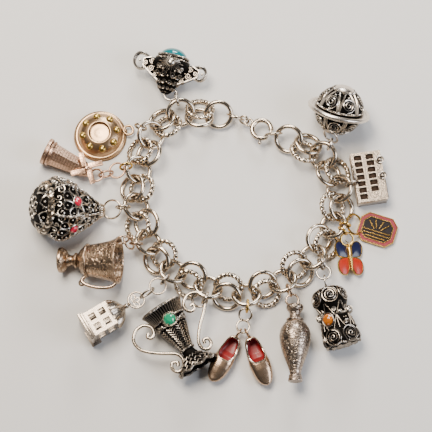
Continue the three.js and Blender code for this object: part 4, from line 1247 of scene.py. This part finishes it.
jug_rows = [
    (0.5, 0.0), (0.2, 6.2), (0.6, 6.6), (1.3, 6.3), (2.4, 5.6), (6.0, 5.0), (9.0, 4.1), (12.0, 3.0),
    (15.6, 1.9), (18.2, 2.8), (21.0, 5.8), (22.3, 6.5), (22.3, 6.2), (20.5, 4.2), (20.0, 0.0),
]
jug_r = radius_of(jug_rows[1:12])
jug_at = seat("amphora", -58, x=("hi", 22.6), y=("mid", 0), z=("mid", 0))
jug_squash = Matrix.Scale(JUG_FLAT, 4, (0, 0, 1))
# The jug's body is near-black sheet: painted shade inside the openwork.
make(
    "jug_shade_core", [moved(turned(smooth_profile(jug_rows, 3), 56), jug_squash)], shade_backing_sheet,
    ["amphora"], jug_at,
)
jug_wire = []
for k in range(44):
    flute = [(x, 0.0) for x in (0.6, 1.6, 2.8, 4.4)]
    jug_wire.append(tube(wrap(flute, jug_r, 0.1, 360 * k / 44, JUG_FLAT), 0.19, 5))
for k in range(10):
    turn = 36 * k + 18
    for hand in (-1, 1):
        points = scroll(6.5, 0.85 * hand, 0.85, 1.5, 180, hand)
        jug_wire.append(tube(wrap(points, jug_r, 0.12, turn, JUG_FLAT), 0.2, 6))
    for x in np.arange(8.2, 15.2, 0.85):
        half = 0.31 * jug_r(x, 0)
        chevron = [(x - 0.3, -half), (x + 0.5, 0.0), (x - 0.3, half)]
        jug_wire.append(tube(wrap(chevron, jug_r, 0.1, turn, JUG_FLAT), 0.15, 5))
        jug_wire += grains(wrap([(x - 0.2, 0)], jug_r, 0.12, turn, JUG_FLAT), 0.17)
for k in range(18):
    turn = 20 * k
    for x, deep in ((18.6, 0.7), (20.0, 0.8), (21.4, 0.9)):
        half = math.radians(10) * jug_r(x, 0)
        zigzag = [(x - deep / 2, -half), (x + deep / 2, 0.0), (x - deep / 2, half)]
        jug_wire.append(tube(wrap(zigzag, jug_r, 0.1, turn, JUG_FLAT), 0.15, 5))
    jug_wire += grains(wrap([(20.7, 0)], jug_r, 0.12, turn, JUG_FLAT), 0.24)


jug_wire += rope_ring(0.5, 6.55, 0.24, 1.1, EDGE_CORNERS, JUG_FLAT)
jug_wire += rope_ring(4.7, 5.35, 0.18, 0.9, EDGE_CORNERS, JUG_FLAT)
jug_wire += rope_ring(15.8, 2.2, 0.22, 1.0, EDGE_CORNERS, JUG_FLAT)
jug_wire += rope_ring(22.2, 6.5, 0.22, 1.0, EDGE_CORNERS, JUG_FLAT, 0.3)
jug_wire += rosette(0.4, 6.0, JUG_FLAT) + rosette(20.05, 4.6, JUG_FLAT)
make("jug_filigree", jug_wire, oxidised_wire, matrix=jug_at)


def eased(points):
    """A smooth line through (x, y) points."""
    return smooth_profile([points[0]] + points + [points[-1]], 5)


right_handle = [
    (4.8, 8.0), (4.7, 9.1), (6.1, 8.8), (6.3, 7.2), (4.6, 6.2), (2.6, 6.9), (1.3, 9.3), (2.1, 12.0),
    (5.2, 13.0), (8.3, 10.9), (11.8, 7.2), (15.3, 4.5), (17.9, 4.0), (19.3, 5.5), (18.4, 7.3),
    (16.5, 7.3), (16.2, 5.9), (17.4, 5.6),
]
left_handle = [
    (5.3, -7.7), (6.2, -8.6), (7.1, -7.6), (6.0, -6.1), (4.0, -6.0), (2.3, -7.8), (2.5, -10.6),
    (4.9, -12.9), (8.2, -12.6), (10.9, -10.2), (13.1, -7.2), (15.3, -3.9), (17.6, -2.8), (20.0, -3.8),
    (20.6, -6.2), (18.8, -7.3), (17.2, -6.2), (18.0, -4.8), (19.0, -5.3),
]
jug_handles = [
    tube([(p, q, 0.3) for p, q in eased(line)], 0.55, 10) for line in (right_handle, left_handle)
]
jug_jump = jump_ring(15, 236, turn=4)
jug_bail = loop_to(jug_jump, at(jug_at, 2.2, 11.4, 0.3))
make(
    "jug_handles", jug_handles + soldered(jug_at, jug_jump, jug_bail), sterling,
    matrix=jug_at,
)
JUG_STONE = (5.6, 0.0, jug_r(5.6, 0) * JUG_FLAT + 0.25)
setting = [tube(circle(2.15, 30, JUG_STONE), 0.3, 8, True)]
for k in range(4):
    a = math.pi / 4 + math.pi / 2 * k
    claw = [(JUG_STONE[0] + q * math.cos(a), JUG_STONE[1] + q * math.sin(a), JUG_STONE[2] + z)
            for q, z in ((2.3, -0.2), (2.15, 0.5), (1.75, 0.85))]
    setting.append(tube(claw, 0.24, 6))
make("jug_setting", setting, sterling, matrix=jug_at)
green_glass = gem_glass("foiled_green_glass", "#0f8a63")
make(
    "jug_stone", [moved(cut_stone(1.95, 1.2), Matrix.Translation(JUG_STONE))], green_glass,
    ["amphora_stone"], jug_at, crease=5,
)

# ------------------------------------------------------------------ amber fob
# A waisted filigree fob: spiral discs at both ends, V-shaped trusses of wire between them,
# ribbed bosses at the waist and an amber stone in a plain bezel.
AMBER_FLAT = 0.8
amber_rows = [
    (0.0, 0.0), (0.05, 2.4), (1.0, 4.3), (2.4, 5.2), (4.6, 5.3), (7.6, 4.1), (9.2, 4.3), (10.6, 4.9),
    (14.4, 5.4), (17.4, 5.9), (18.9, 4.9), (19.2, 0.0),
]
amber_r = radius_of(amber_rows[1:11])
amber_at = seat("amber_fob", -74, x=("hi", 19.4), y=("mid", 0), z=("mid", 0))
amber_squash = Matrix.Scale(AMBER_FLAT, 4, (0, 0, 1))
# The fob's body is near-black sheet: painted shade inside the openwork.
make(
    "amber_fob_shade_core", [moved(turned(smooth_profile(amber_rows, 3), 48), amber_squash)],
    shade_backing_sheet, ["amber_fob"], amber_at,
)
amber_wire = []
for k in range(6):
    turn = 60 * k
    for x, shift, r, turns in ((2.9, 0, 2.15, 2.6), (16.4, 30, 2.3, 2.6)):
        disc = scroll(x, 0, r, turns, 180, 1, 0.08)
        amber_wire.append(tube(wrap(disc, amber_r, 0.18, turn + shift, AMBER_FLAT), 0.17, 6))
        rim = circle(r + 0.25, 26, (x, 0, 0))[:, :2]
        amber_wire.append(tube(wrap(rim, amber_r, 0.3, turn + shift, AMBER_FLAT), 0.19, 6, True))
    for lean in (-1, 1):
        shapes = (
            ([(5.4, 0.2 * lean), (7.6, 1.0 * lean), (9.4, 1.9 * lean)], 30),
            ([(9.8, 0.15 * lean), (11.9, 0.9 * lean), (14.0, 1.9 * lean)], 0),
            (scroll(12.4, 2.3 * lean, 0.7, 1.6, 90, lean), 0),
            (scroll(7.6, 2.2 * lean, 0.7, 1.6, 90, lean), 30),
        )
        for shape, shift in shapes:
            amber_wire.append(tube(wrap(shape, amber_r, 0.15, turn + shift, AMBER_FLAT), 0.16, 6))
    amber_wire.append(tube(wrap([(9.9, 0), (13.8, 0)], amber_r, 0.15, turn, AMBER_FLAT), 0.17, 6))
    spots = ((5.3, 0), (8.4, 0), (11.0, 2.2), (11.0, -2.2), (13.9, 2.6), (13.9, -2.6), (6.6, 1.6))
    for spot in spots:
        amber_wire += grains(wrap([spot], amber_r, 0.15, turn, AMBER_FLAT), 0.22)
amber_wire += rope_ring(9.4, 4.5, 0.2, 1.0, EDGE_CORNERS, AMBER_FLAT)
amber_wire += rope_ring(18.6, 5.3, 0.22, 1.1, EDGE_CORNERS, AMBER_FLAT, 0.25)
amber_wire += rope_ring(0.3, 2.7, 0.2, 1.0, EDGE_CORNERS, AMBER_FLAT)
bosses = []
for turn, x, r in ((-72, 8.8, 1.35), (108, 8.8, 1.35), (75, 9.6, 0.75), (-20, 8.9, 0.6)):
    spot = wrap([(x, 0)], amber_r, 0.5, turn, AMBER_FLAT)[0]
    bosses.append(ball(spot, r, 18))
    for k in range(8):
        rib = [spot + r * 1.02 * np.array([
            math.cos(b), math.sin(b) * math.cos(math.pi * k / 8), math.sin(b) * math.sin(math.pi * k / 8),
        ]) for b in np.linspace(0, 2 * math.pi, 20, endpoint=False)]
        bosses.append(tube(rib, 0.07, 5, True))
amber_jump = jump_ring(21, 290)
amber_bails = links_to(amber_jump, at(amber_at, 0.2, 0, 0), 2)
make(
    "amber_fob_bosses", bosses + soldered(amber_at, amber_jump, *amber_bails), bright_wire,
    matrix=amber_at,
)
AMBER_X = 10.6
stone_turn = Matrix.Rotation(math.radians(38), 4, "X") @ Matrix.Translation((AMBER_X, 0, 4.6))
amber_wire.append(moved(tube(circle(2.05, 26), 0.28, 8, True), stone_turn))
amber_wire += rosette(0.0, 2.3, AMBER_FLAT) + rosette(19.2, 4.5, AMBER_FLAT)
make("amber_fob_filigree", amber_wire, oxidised_wire, matrix=amber_at)
amber_glass = gem_glass("cut_amber_glass", "#b5640a")
make(
    "amber_fob_stone", [moved(cut_stone(1.85, 1.25), stone_turn)], amber_glass,
    ["amber_stone"], amber_at, crease=5,
)

# ------------------------------------------------------------------ ringed ball
# A filigree ball in two halves on a broad smooth ring: coiled wire discs stand between
# double V wires, under a plain polished cap.
ball_at = seat("ringed_ball", 74, 54, x=("hi", 10.25), y=("mid", 0), z=("hi", 8.4))
BALL_R = 7.6


def on_ball(points, north, east, r=BALL_R):
    """Lays flat (eastward, northward) points on the ball about a place given in degrees."""
    n, e = math.radians(north), math.radians(east)
    out = np.array([math.cos(n) * math.cos(e), math.cos(n) * math.sin(e), math.sin(n)])
    right = np.array([-math.sin(e), math.cos(e), 0])
    above = np.cross(out, right)
    found = [out * r + right * p + above * q for p, q in points]
    return np.array([f / np.linalg.norm(f) * r for f in found])


# The ball's core is near-black sheet: painted shade inside the openwork.
make(
    "ball_shade_core", [ball((0, 0, 0), BALL_R - 0.2, 48)], shade_backing_sheet,
    ["ringed_ball"], ball_at,
)
ball_wire = []
for half in (1, -1):
    for k in range(7):
        east = 360 / 7 * (k + (0.5 if half < 0 else 0))
        coil = scroll(0, 0, 2.45, 2.6, 270, 1, 0.12)
        ball_wire.append(tube(on_ball(coil, 31 * half, east, BALL_R + 0.2), 0.2, 6))
        for lean in (-1, 1):
            for gap in (0.5, 4.0):
                path = [
                    on_ball([(0, 0)], north * half, east + 180 / 7 + lean * (spread + gap), BALL_R + 0.1)[0]
                    for north, spread in ((11, 0.0), (28, 1.6), (44, 5.0), (60, 11.0))
                ]
                ball_wire.append(tube(path, 0.19, 6))
        ball_wire += grains(on_ball([(0, 0)], 51 * half, east, BALL_R + 0.15), 0.36)
    for north, thick in ((64, 0.26), (9, 0.2)):
        loop = [on_ball([(0, 0)], north * half, east, BALL_R + 0.1)[0] for east in range(0, 360, 6)]
        ball_wire += rope(loop, thick, 1.1, True, hint=(0.01, 0.02, 1.0))
make("ball_filigree", ball_wire, bright_wire, matrix=ball_at)
cap = smooth_profile([
    (7.0, 3.1), (7.0, 3.1), (7.3, 3.15), (7.75, 2.6), (8.15, 1.6), (8.35, 0), (8.35, 0),
], 5)
smooth_parts = [
    tube(circle(9.5, 90), 0.75, 16, True),
    moved(turned([(-0.3, 7.5), (-0.3, 9.2), (0.3, 9.2), (0.3, 7.5)], 72), upright),
    moved(turned(cap, 48), upright),
]
ball_jump = jump_ring(27, 80, turn=8)
ball_bail = loop_to(ball_jump, at(ball_at, -5.0, 0.6, -6.0), soldered=True)
soft_silver = tarnished_shaded_metal("burnished_silver", "#ded3c6", "#4b3c30", 0.26)
make(
    "ball_ring_and_cap", smooth_parts + soldered(ball_at, ball_jump, ball_bail), soft_silver,
    matrix=ball_at,
)

# ------------------------------------------------------------------ clogs
# A pair of hollow slippers raised from thin rose-toned silver, polished outside, with red
# enamel inside and a drawn silver edge round each opening.
CLOG_ROWS = (
    # along, half width, sole height, upper height, half width of the opening
    (0.05, 0.9, 0.9, 3.9, 0.0), (0.4, 1.5, 0.35, 4.15, 0.0), (1.0, 2.0, 0.1, 4.2, 0.9),
    (2.0, 2.35, 0.0, 4.0, 1.7), (3.5, 2.65, 0.0, 3.7, 2.05), (5.0, 2.9, 0.05, 3.6, 2.3),
    (6.6, 3.05, 0.55, 4.0, 2.3), (7.8, 3.2, 0.3, 4.4, 1.9), (8.6, 3.3, 0.2, 4.55, 1.0),
    (9.0, 3.3, 0.2, 4.6, 0.0), (11.0, 3.2, 0.25, 4.4, 0.0), (13.0, 2.85, 0.6, 4.0, 0.0),
    (14.6, 2.2, 1.1, 3.6, 0.0), (15.6, 1.4, 1.6, 3.45, 0.0), (16.1, 0.5, 2.1, 3.2, 0.0),
)


def clog_skin(shrink, first, last):
    """The shoe's skin as a grid of sections, open on top where the foot goes in."""
    table = np.array(CLOG_ROWS)
    xs = np.linspace(first, last, 40)
    points, rim = [], []
    for x in xs:
        half, low, high, gap = (np.interp(x, table[:, 0], table[:, k]) for k in range(1, 5))
        half, gap = half - shrink, max(0.0, gap)
        low, high = low + shrink, high - shrink * 0.3
        top = math.acos(min(1.0, gap / half)) if gap > 0.01 else math.pi / 2
        line = []
        for a in np.linspace(-math.pi / 2, top, 14):
            c, n = math.cos(a), math.sin(a)
            rise = (high - low) / 2 * np.sign(n) * abs(n) ** 0.8
            line.append((x, half * abs(c) ** 0.7, (low + high) / 2 + rise))
        points += [(p, -q, z) for p, q, z in reversed(line)] + line[1:]
        rim.append(line[-1])
    width = 27
    faces = []
    for i in range(len(xs) - 1):
        for j in range(width - 1):
            a, b = i * width + j, (i + 1) * width + j
            faces.append((a, b, b + 1, a + 1))
    faces.append(tuple(range(width)))
    faces.append(tuple(range(len(points) - width, len(points)))[::-1])
    return (np.array(points), faces), rim


clog_rose = tarnished_shaded_metal("raised_rose_silver", "#c4a68a", "#3e271c", 0.25, grain=3.0)


def enamel(name, colour, roughness=0.18):
    """Fired glass enamel: flat colour with faint clouding under a glossy skin."""
    made = bpy.data.materials.new(name)
    made.use_nodes = True
    tree = made.node_tree
    shader = tree.nodes["Principled BSDF"]
    place = add_node(tree, "ShaderNodeAttribute", attribute_name="bench_mm").outputs["Vector"]
    cloud = add_node(tree, "ShaderNodeTexNoise", {"Vector": place}, {"Scale": 1.1, "Detail": 4.0})
    shade = add_node(tree, "ShaderNodeMix", {0: cloud.outputs["Fac"]}, data_type="RGBA")
    shade.inputs["A"].default_value = [0.55 * c for c in linear(colour)[:3]] + [1.0]
    shade.inputs["B"].default_value = [min(1.0, 1.35 * c) for c in linear(colour)[:3]] + [1.0]
    tree.links.new(shade.outputs["Result"], shader.inputs["Base Color"])
    shader.inputs["Roughness"].default_value = roughness
    shader.inputs["IOR"].default_value = 1.5
    shader.inputs["Coat Weight"].default_value = 0.12
    return made


clog_red = enamel("fired_red_enamel", "#94080c", 0.45)
hanger_points = node_points("clog_hanger")
HANGER_R = 2.0
hanger = hanger_points[hanger_points[:, 1].argmin()] + np.array([0, HANGER_R + 0.35, 0])
clog_jump = jump_ring(17, 262, dip=30)
clog_link = loop_to(clog_jump, hanger + np.array([0, HANGER_R, 0]))
make(
    "clog_hanger_links", [clog_link["part"], tube(circle(HANGER_R, 40, hanger), 0.35, 10, True)],
    sterling, ["clog_hanger"],
)
for node, heading in (("clog_left", -119), ("clog_right", -70)):
    shoe_at = seat(node, heading, x=("hi", 16.2), y=("mid", 0), z=("lo", 0))
    outer, rim = clog_skin(0.0, 0.05, 16.1)
    inner, _ = clog_skin(0.3, 0.9, 8.9)
    edge = [p for p in rim if 0.75 < p[0] < 9.0]
    edge = edge + [(p, -q, z) for p, q, z in reversed(edge)]
    heel = at(shoe_at, 0.5, 0, 3.4)
    way = (heel - hanger) * np.array([1, 1, 0])
    held = {
        "far": hanger + way / np.linalg.norm(way) * HANGER_R, "normal": UP, "wire": 0.7,
    }
    heel_loop = soldered(shoe_at, loop_to(held, heel, wire=0.6))
    make(node + "_shell", [outer] + heel_loop, clog_rose, [node], shoe_at, crease=60)
    make(node + "_lining", [inner], clog_red, matrix=shoe_at, crease=60)
    make(node + "_edge", [tube(edge, 0.27, 8, True)], sterling, matrix=shoe_at)

# ------------------------------------------------------------------ butterfly
# Four wing cells of gold-plated wire, soldered on thin plate round a ribbed body. The cells
# are filled with glass enamel and fired, navy in the upper wings and orange in the lower.
def rounded(outline):
    """A closed smooth curve through the corners of an outline."""
    count = len(outline)
    out = []
    for k in range(count):
        p0, p1, p2, p3 = (np.array(outline[(k + d) % count], float) for d in (-1, 0, 1, 2))
        for t in np.linspace(0, 1, 5, endpoint=False):
            out.append(0.5 * (
                2 * p1 + (p2 - p0) * t + (2 * p0 - 5 * p1 + 4 * p2 - p3) * t ** 2
                + (3 * p1 - p0 - 3 * p2 + p3) * t ** 3
            ))
    return out


fly_at = seat("butterfly", -84, roll=-25, x=("hi", 5.6), y=("mid", 0), z=("lo", 0))
upper_wing = [
    (-4.9, 1.9), (-5.3, 3.3), (-4.3, 4.6), (-2.3, 4.7), (-0.5, 3.8), (-0.1, 2.0), (-0.2, 0.6), (-2.0, 0.6),
    (-3.6, 1.0),
]
lower_wing = [
    (0.2, 0.6), (0.2, 2.4), (1.0, 3.9), (2.8, 4.4), (4.6, 4.0), (5.6, 2.8), (5.3, 1.5), (3.4, 0.6),
    (1.8, 0.5),
]
frames, navy_cells, orange_cells = [], [], []
for hand in (1, -1):
    for wing, cells in ((upper_wing, navy_cells), (lower_wing, orange_cells)):
        outline = rounded([(x, y * hand) for x, y in wing])
        outline = outline if hand > 0 else outline[::-1]
        frames.append(slab(outline, 0.0, 0.85))
        frames.append(tube([(p, q, 0.85) for p, q in outline], 0.2, 6, True))
        cells.append(slab(outline, 0.7, 0.95, 0.25, 0.35))
gold_body = [tube(
    [(-4.4, 0, 1.1), (-3.9, 0, 1.25), (-2.6, 0, 1.35), (0, 0, 1.35), (3.4, 0, 1.2), (4.3, 0, 1.1)],
    (0.3, 0.65, 0.75, 0.62, 0.42, 0.15), 10,
)]
for k in range(9):
    band_at = basis((0, 1, 0), (1, 0, 0), (-2.6 + 0.75 * k, 0, 1.3))
    gold_body.append(moved(tube(circle(0.68 - 0.03 * k, 14), 0.1, 5, True), band_at))
for hand in (-1, 1):
    feeler = [(-4.1, 0.2 * hand, 1.4), (-4.8, 0.7 * hand, 1.6), (-5.4, 1.3 * hand, 1.5)]
    gold_body.append(tube(feeler, 0.13, 6))
fly_jump = jump_ring(23, 318, turn=-13, r=1.6, dip=45)
fly_bail = loop_to(fly_jump, at(fly_at, -4.0, 0, 1.1), soldered=True)
make(
    "butterfly_frame", frames + gold_body + soldered(fly_at, fly_jump, fly_bail), gold_plate,
    ["butterfly"], fly_at,
)
navy = enamel("fired_navy_enamel", "#12173a", 0.3)
orange = enamel("fired_orange_enamel", "#a82000", 0.4)
make("butterfly_navy_wings", navy_cells, navy, matrix=fly_at)
make("butterfly_orange_wings", orange_cells, orange, matrix=fly_at)

# ------------------------------------------------------------------ tag
# An eight-sided gold-plated plate with a rose enamel border and, in a black field, raised
# wires: three level bars under a fan of four rays.
tag_at = seat("tag", -18, x=("hi", 6.1), y=("hi", 4.9), z=("lo", 0))


def octagon(inset):
    """The tag's outline, moved in by `inset`."""
    x, y, c = 6.1 - inset, 4.9 - inset, 2.2 - inset * 0.42
    return [
        (x, y - c), (x - c, y), (c - x, y), (-x, y - c), (-x, c - y), (c - x, -y), (x - c, -y),
        (x, c - y),
    ]


tag_gold = [slab(octagon(0.0), 0.0, 1.1, 0.1)]
for inset in (0.15, 1.3):
    tag_gold.append(tube([(p, q, 1.16) for p, q in octagon(inset)], 0.21, 6, True))
bars = (
    ((-4.4, -0.7), (4.4, -0.7)), ((-4.2, -1.7), (4.2, -1.7)), ((-3.2, -2.7), (3.2, -2.7)),
    ((-1.1, 0.0), (-3.3, 2.3)), ((-0.4, 0.3), (-1.3, 3.0)), ((0.4, 0.3), (1.3, 3.0)),
    ((1.1, 0.0), (3.3, 2.3)),
)
for (p, q), (u, v) in bars:
    tag_gold.append(tube([(p, q, 1.25), (u, v, 1.25)], 0.22, 6))
tag_jump = jump_ring(23, 345, turn=15, r=1.6, dip=45)
tag_bail = loop_to(tag_jump, at(tag_at, -5.6, 1.0, 0.7), soldered=True)
make(
    "tag_plate", tag_gold + soldered(tag_at, tag_jump, tag_bail), gold_plate, ["tag"],
    tag_at, crease=30,
)
band_points = [(p, q, 1.16) for p, q in octagon(0.25)] + [(p, q, 1.16) for p, q in octagon(1.22)]
band_faces = [(k, (k + 1) % 8, 8 + (k + 1) % 8, 8 + k) for k in range(8)]
make(
    "tag_border", [(np.array(band_points), band_faces)], enamel("fired_rose_enamel", "#8a2430", 0.35),
    matrix=tag_at,
)
black = enamel("fired_black_enamel", "#2a2626")
make("tag_field", [slab(octagon(1.3), 0.9, 1.13)], black, matrix=tag_at)

# ------------------------------------------------------------------ bus
# A double-decker built up from bright silver sheet: two rows of windows pierced over recesses
# floored with painted shade, a seam between the decks, two wheels, and a rail along the underside.
bus_at = seat("bus", -81.5, x=("hi", 8.2), y=("hi", 4.8), z=("lo", 0))
BUS_WIDE = 5.4
BUS_HALF = 8.2
WINDOW_PITCH = 2.15
WINDOW_HALF = 0.84
WHEELS_AT = (-4.9, 0.4)
x_lines = [-BUS_HALF]
for i in range(7):
    middle = -BUS_HALF + 1.7 + i * WINDOW_PITCH
    x_lines += [middle - WINDOW_HALF, middle + WINDOW_HALF]
x_lines.append(BUS_HALF)
# Across the side: roof edge, upper windows, lower windows, skirt.
y_lines = [-4.8, -3.95, -1.5, -0.1, 2.35, 4.8]
bus_holes = [(2 * i + 1, 1) for i in range(7)] + [(2 * i + 1, 3) for i in range(6)]
bus_side = pierced_plate(x_lines, y_lines, bus_holes, 0.7)
bus_parts = [
    moved(bus_side, Matrix.Translation((0, 0, BUS_WIDE))),
    bevelled_box((16.4, 9.6, BUS_WIDE - 0.7), (0, 0, (BUS_WIDE - 0.7) / 2), 0.25),
    tube([(-8.15, -4.75, 4.0), (8.15, -4.75, 4.0)], 0.22, 6),
    tube([(-8.15, -4.75, 1.4), (8.15, -4.75, 1.4)], 0.22, 6),
    tube([(-8.1, -0.75, BUS_WIDE), (8.1, -0.75, BUS_WIDE)], 0.09, 6),
    tube([(0.5, 4.95, 4.4), (7.8, 4.95, 4.4)], 0.22, 8),
]
edge = [(-8.1, -4.7), (8.1, -4.7), (8.1, 4.7), (-8.1, 4.7)]
bus_parts.append(tube([(p, q, BUS_WIDE - 0.12) for p, q in edge], 0.16, 6, True))
for x in WHEELS_AT:
    wheel_at = (x, 4.2, BUS_WIDE + 0.1)
    bus_parts.append(tube(circle(1.1, 26, wheel_at), 0.34, 8, True))
    bus_parts.append(ball(wheel_at, 0.6, 14))
bus_jump = jump_ring(25, 20, turn=10, dip=25)
bus_bail = loop_to(bus_jump, at(bus_at, -4.6, -4.5, 2.6), soldered=True)
make(
    "bus_body", bus_parts + soldered(bus_at, bus_jump, bus_bail), bright_silver,
    ["bus"], bus_at, crease=30,
)
# Near-black plates at the bottom of the window openings and under the wheels: painted shade in the
# recesses.
shade_plates = [bevelled_box((15.4, 2.5, 0.1), (-0.1, -2.75, BUS_WIDE - 0.62), 0.02, 1),
         bevelled_box((13.2, 2.5, 0.1), (-1.2, 1.15, BUS_WIDE - 0.62), 0.02, 1)]
for x in WHEELS_AT:
    shade_plates.append(bevelled_box((1.9, 1.2, 0.1), (x, 4.1, BUS_WIDE + 0.02), 0.02, 1))
make("bus_recesses", shade_plates, slot_shade_black, matrix=bus_at)
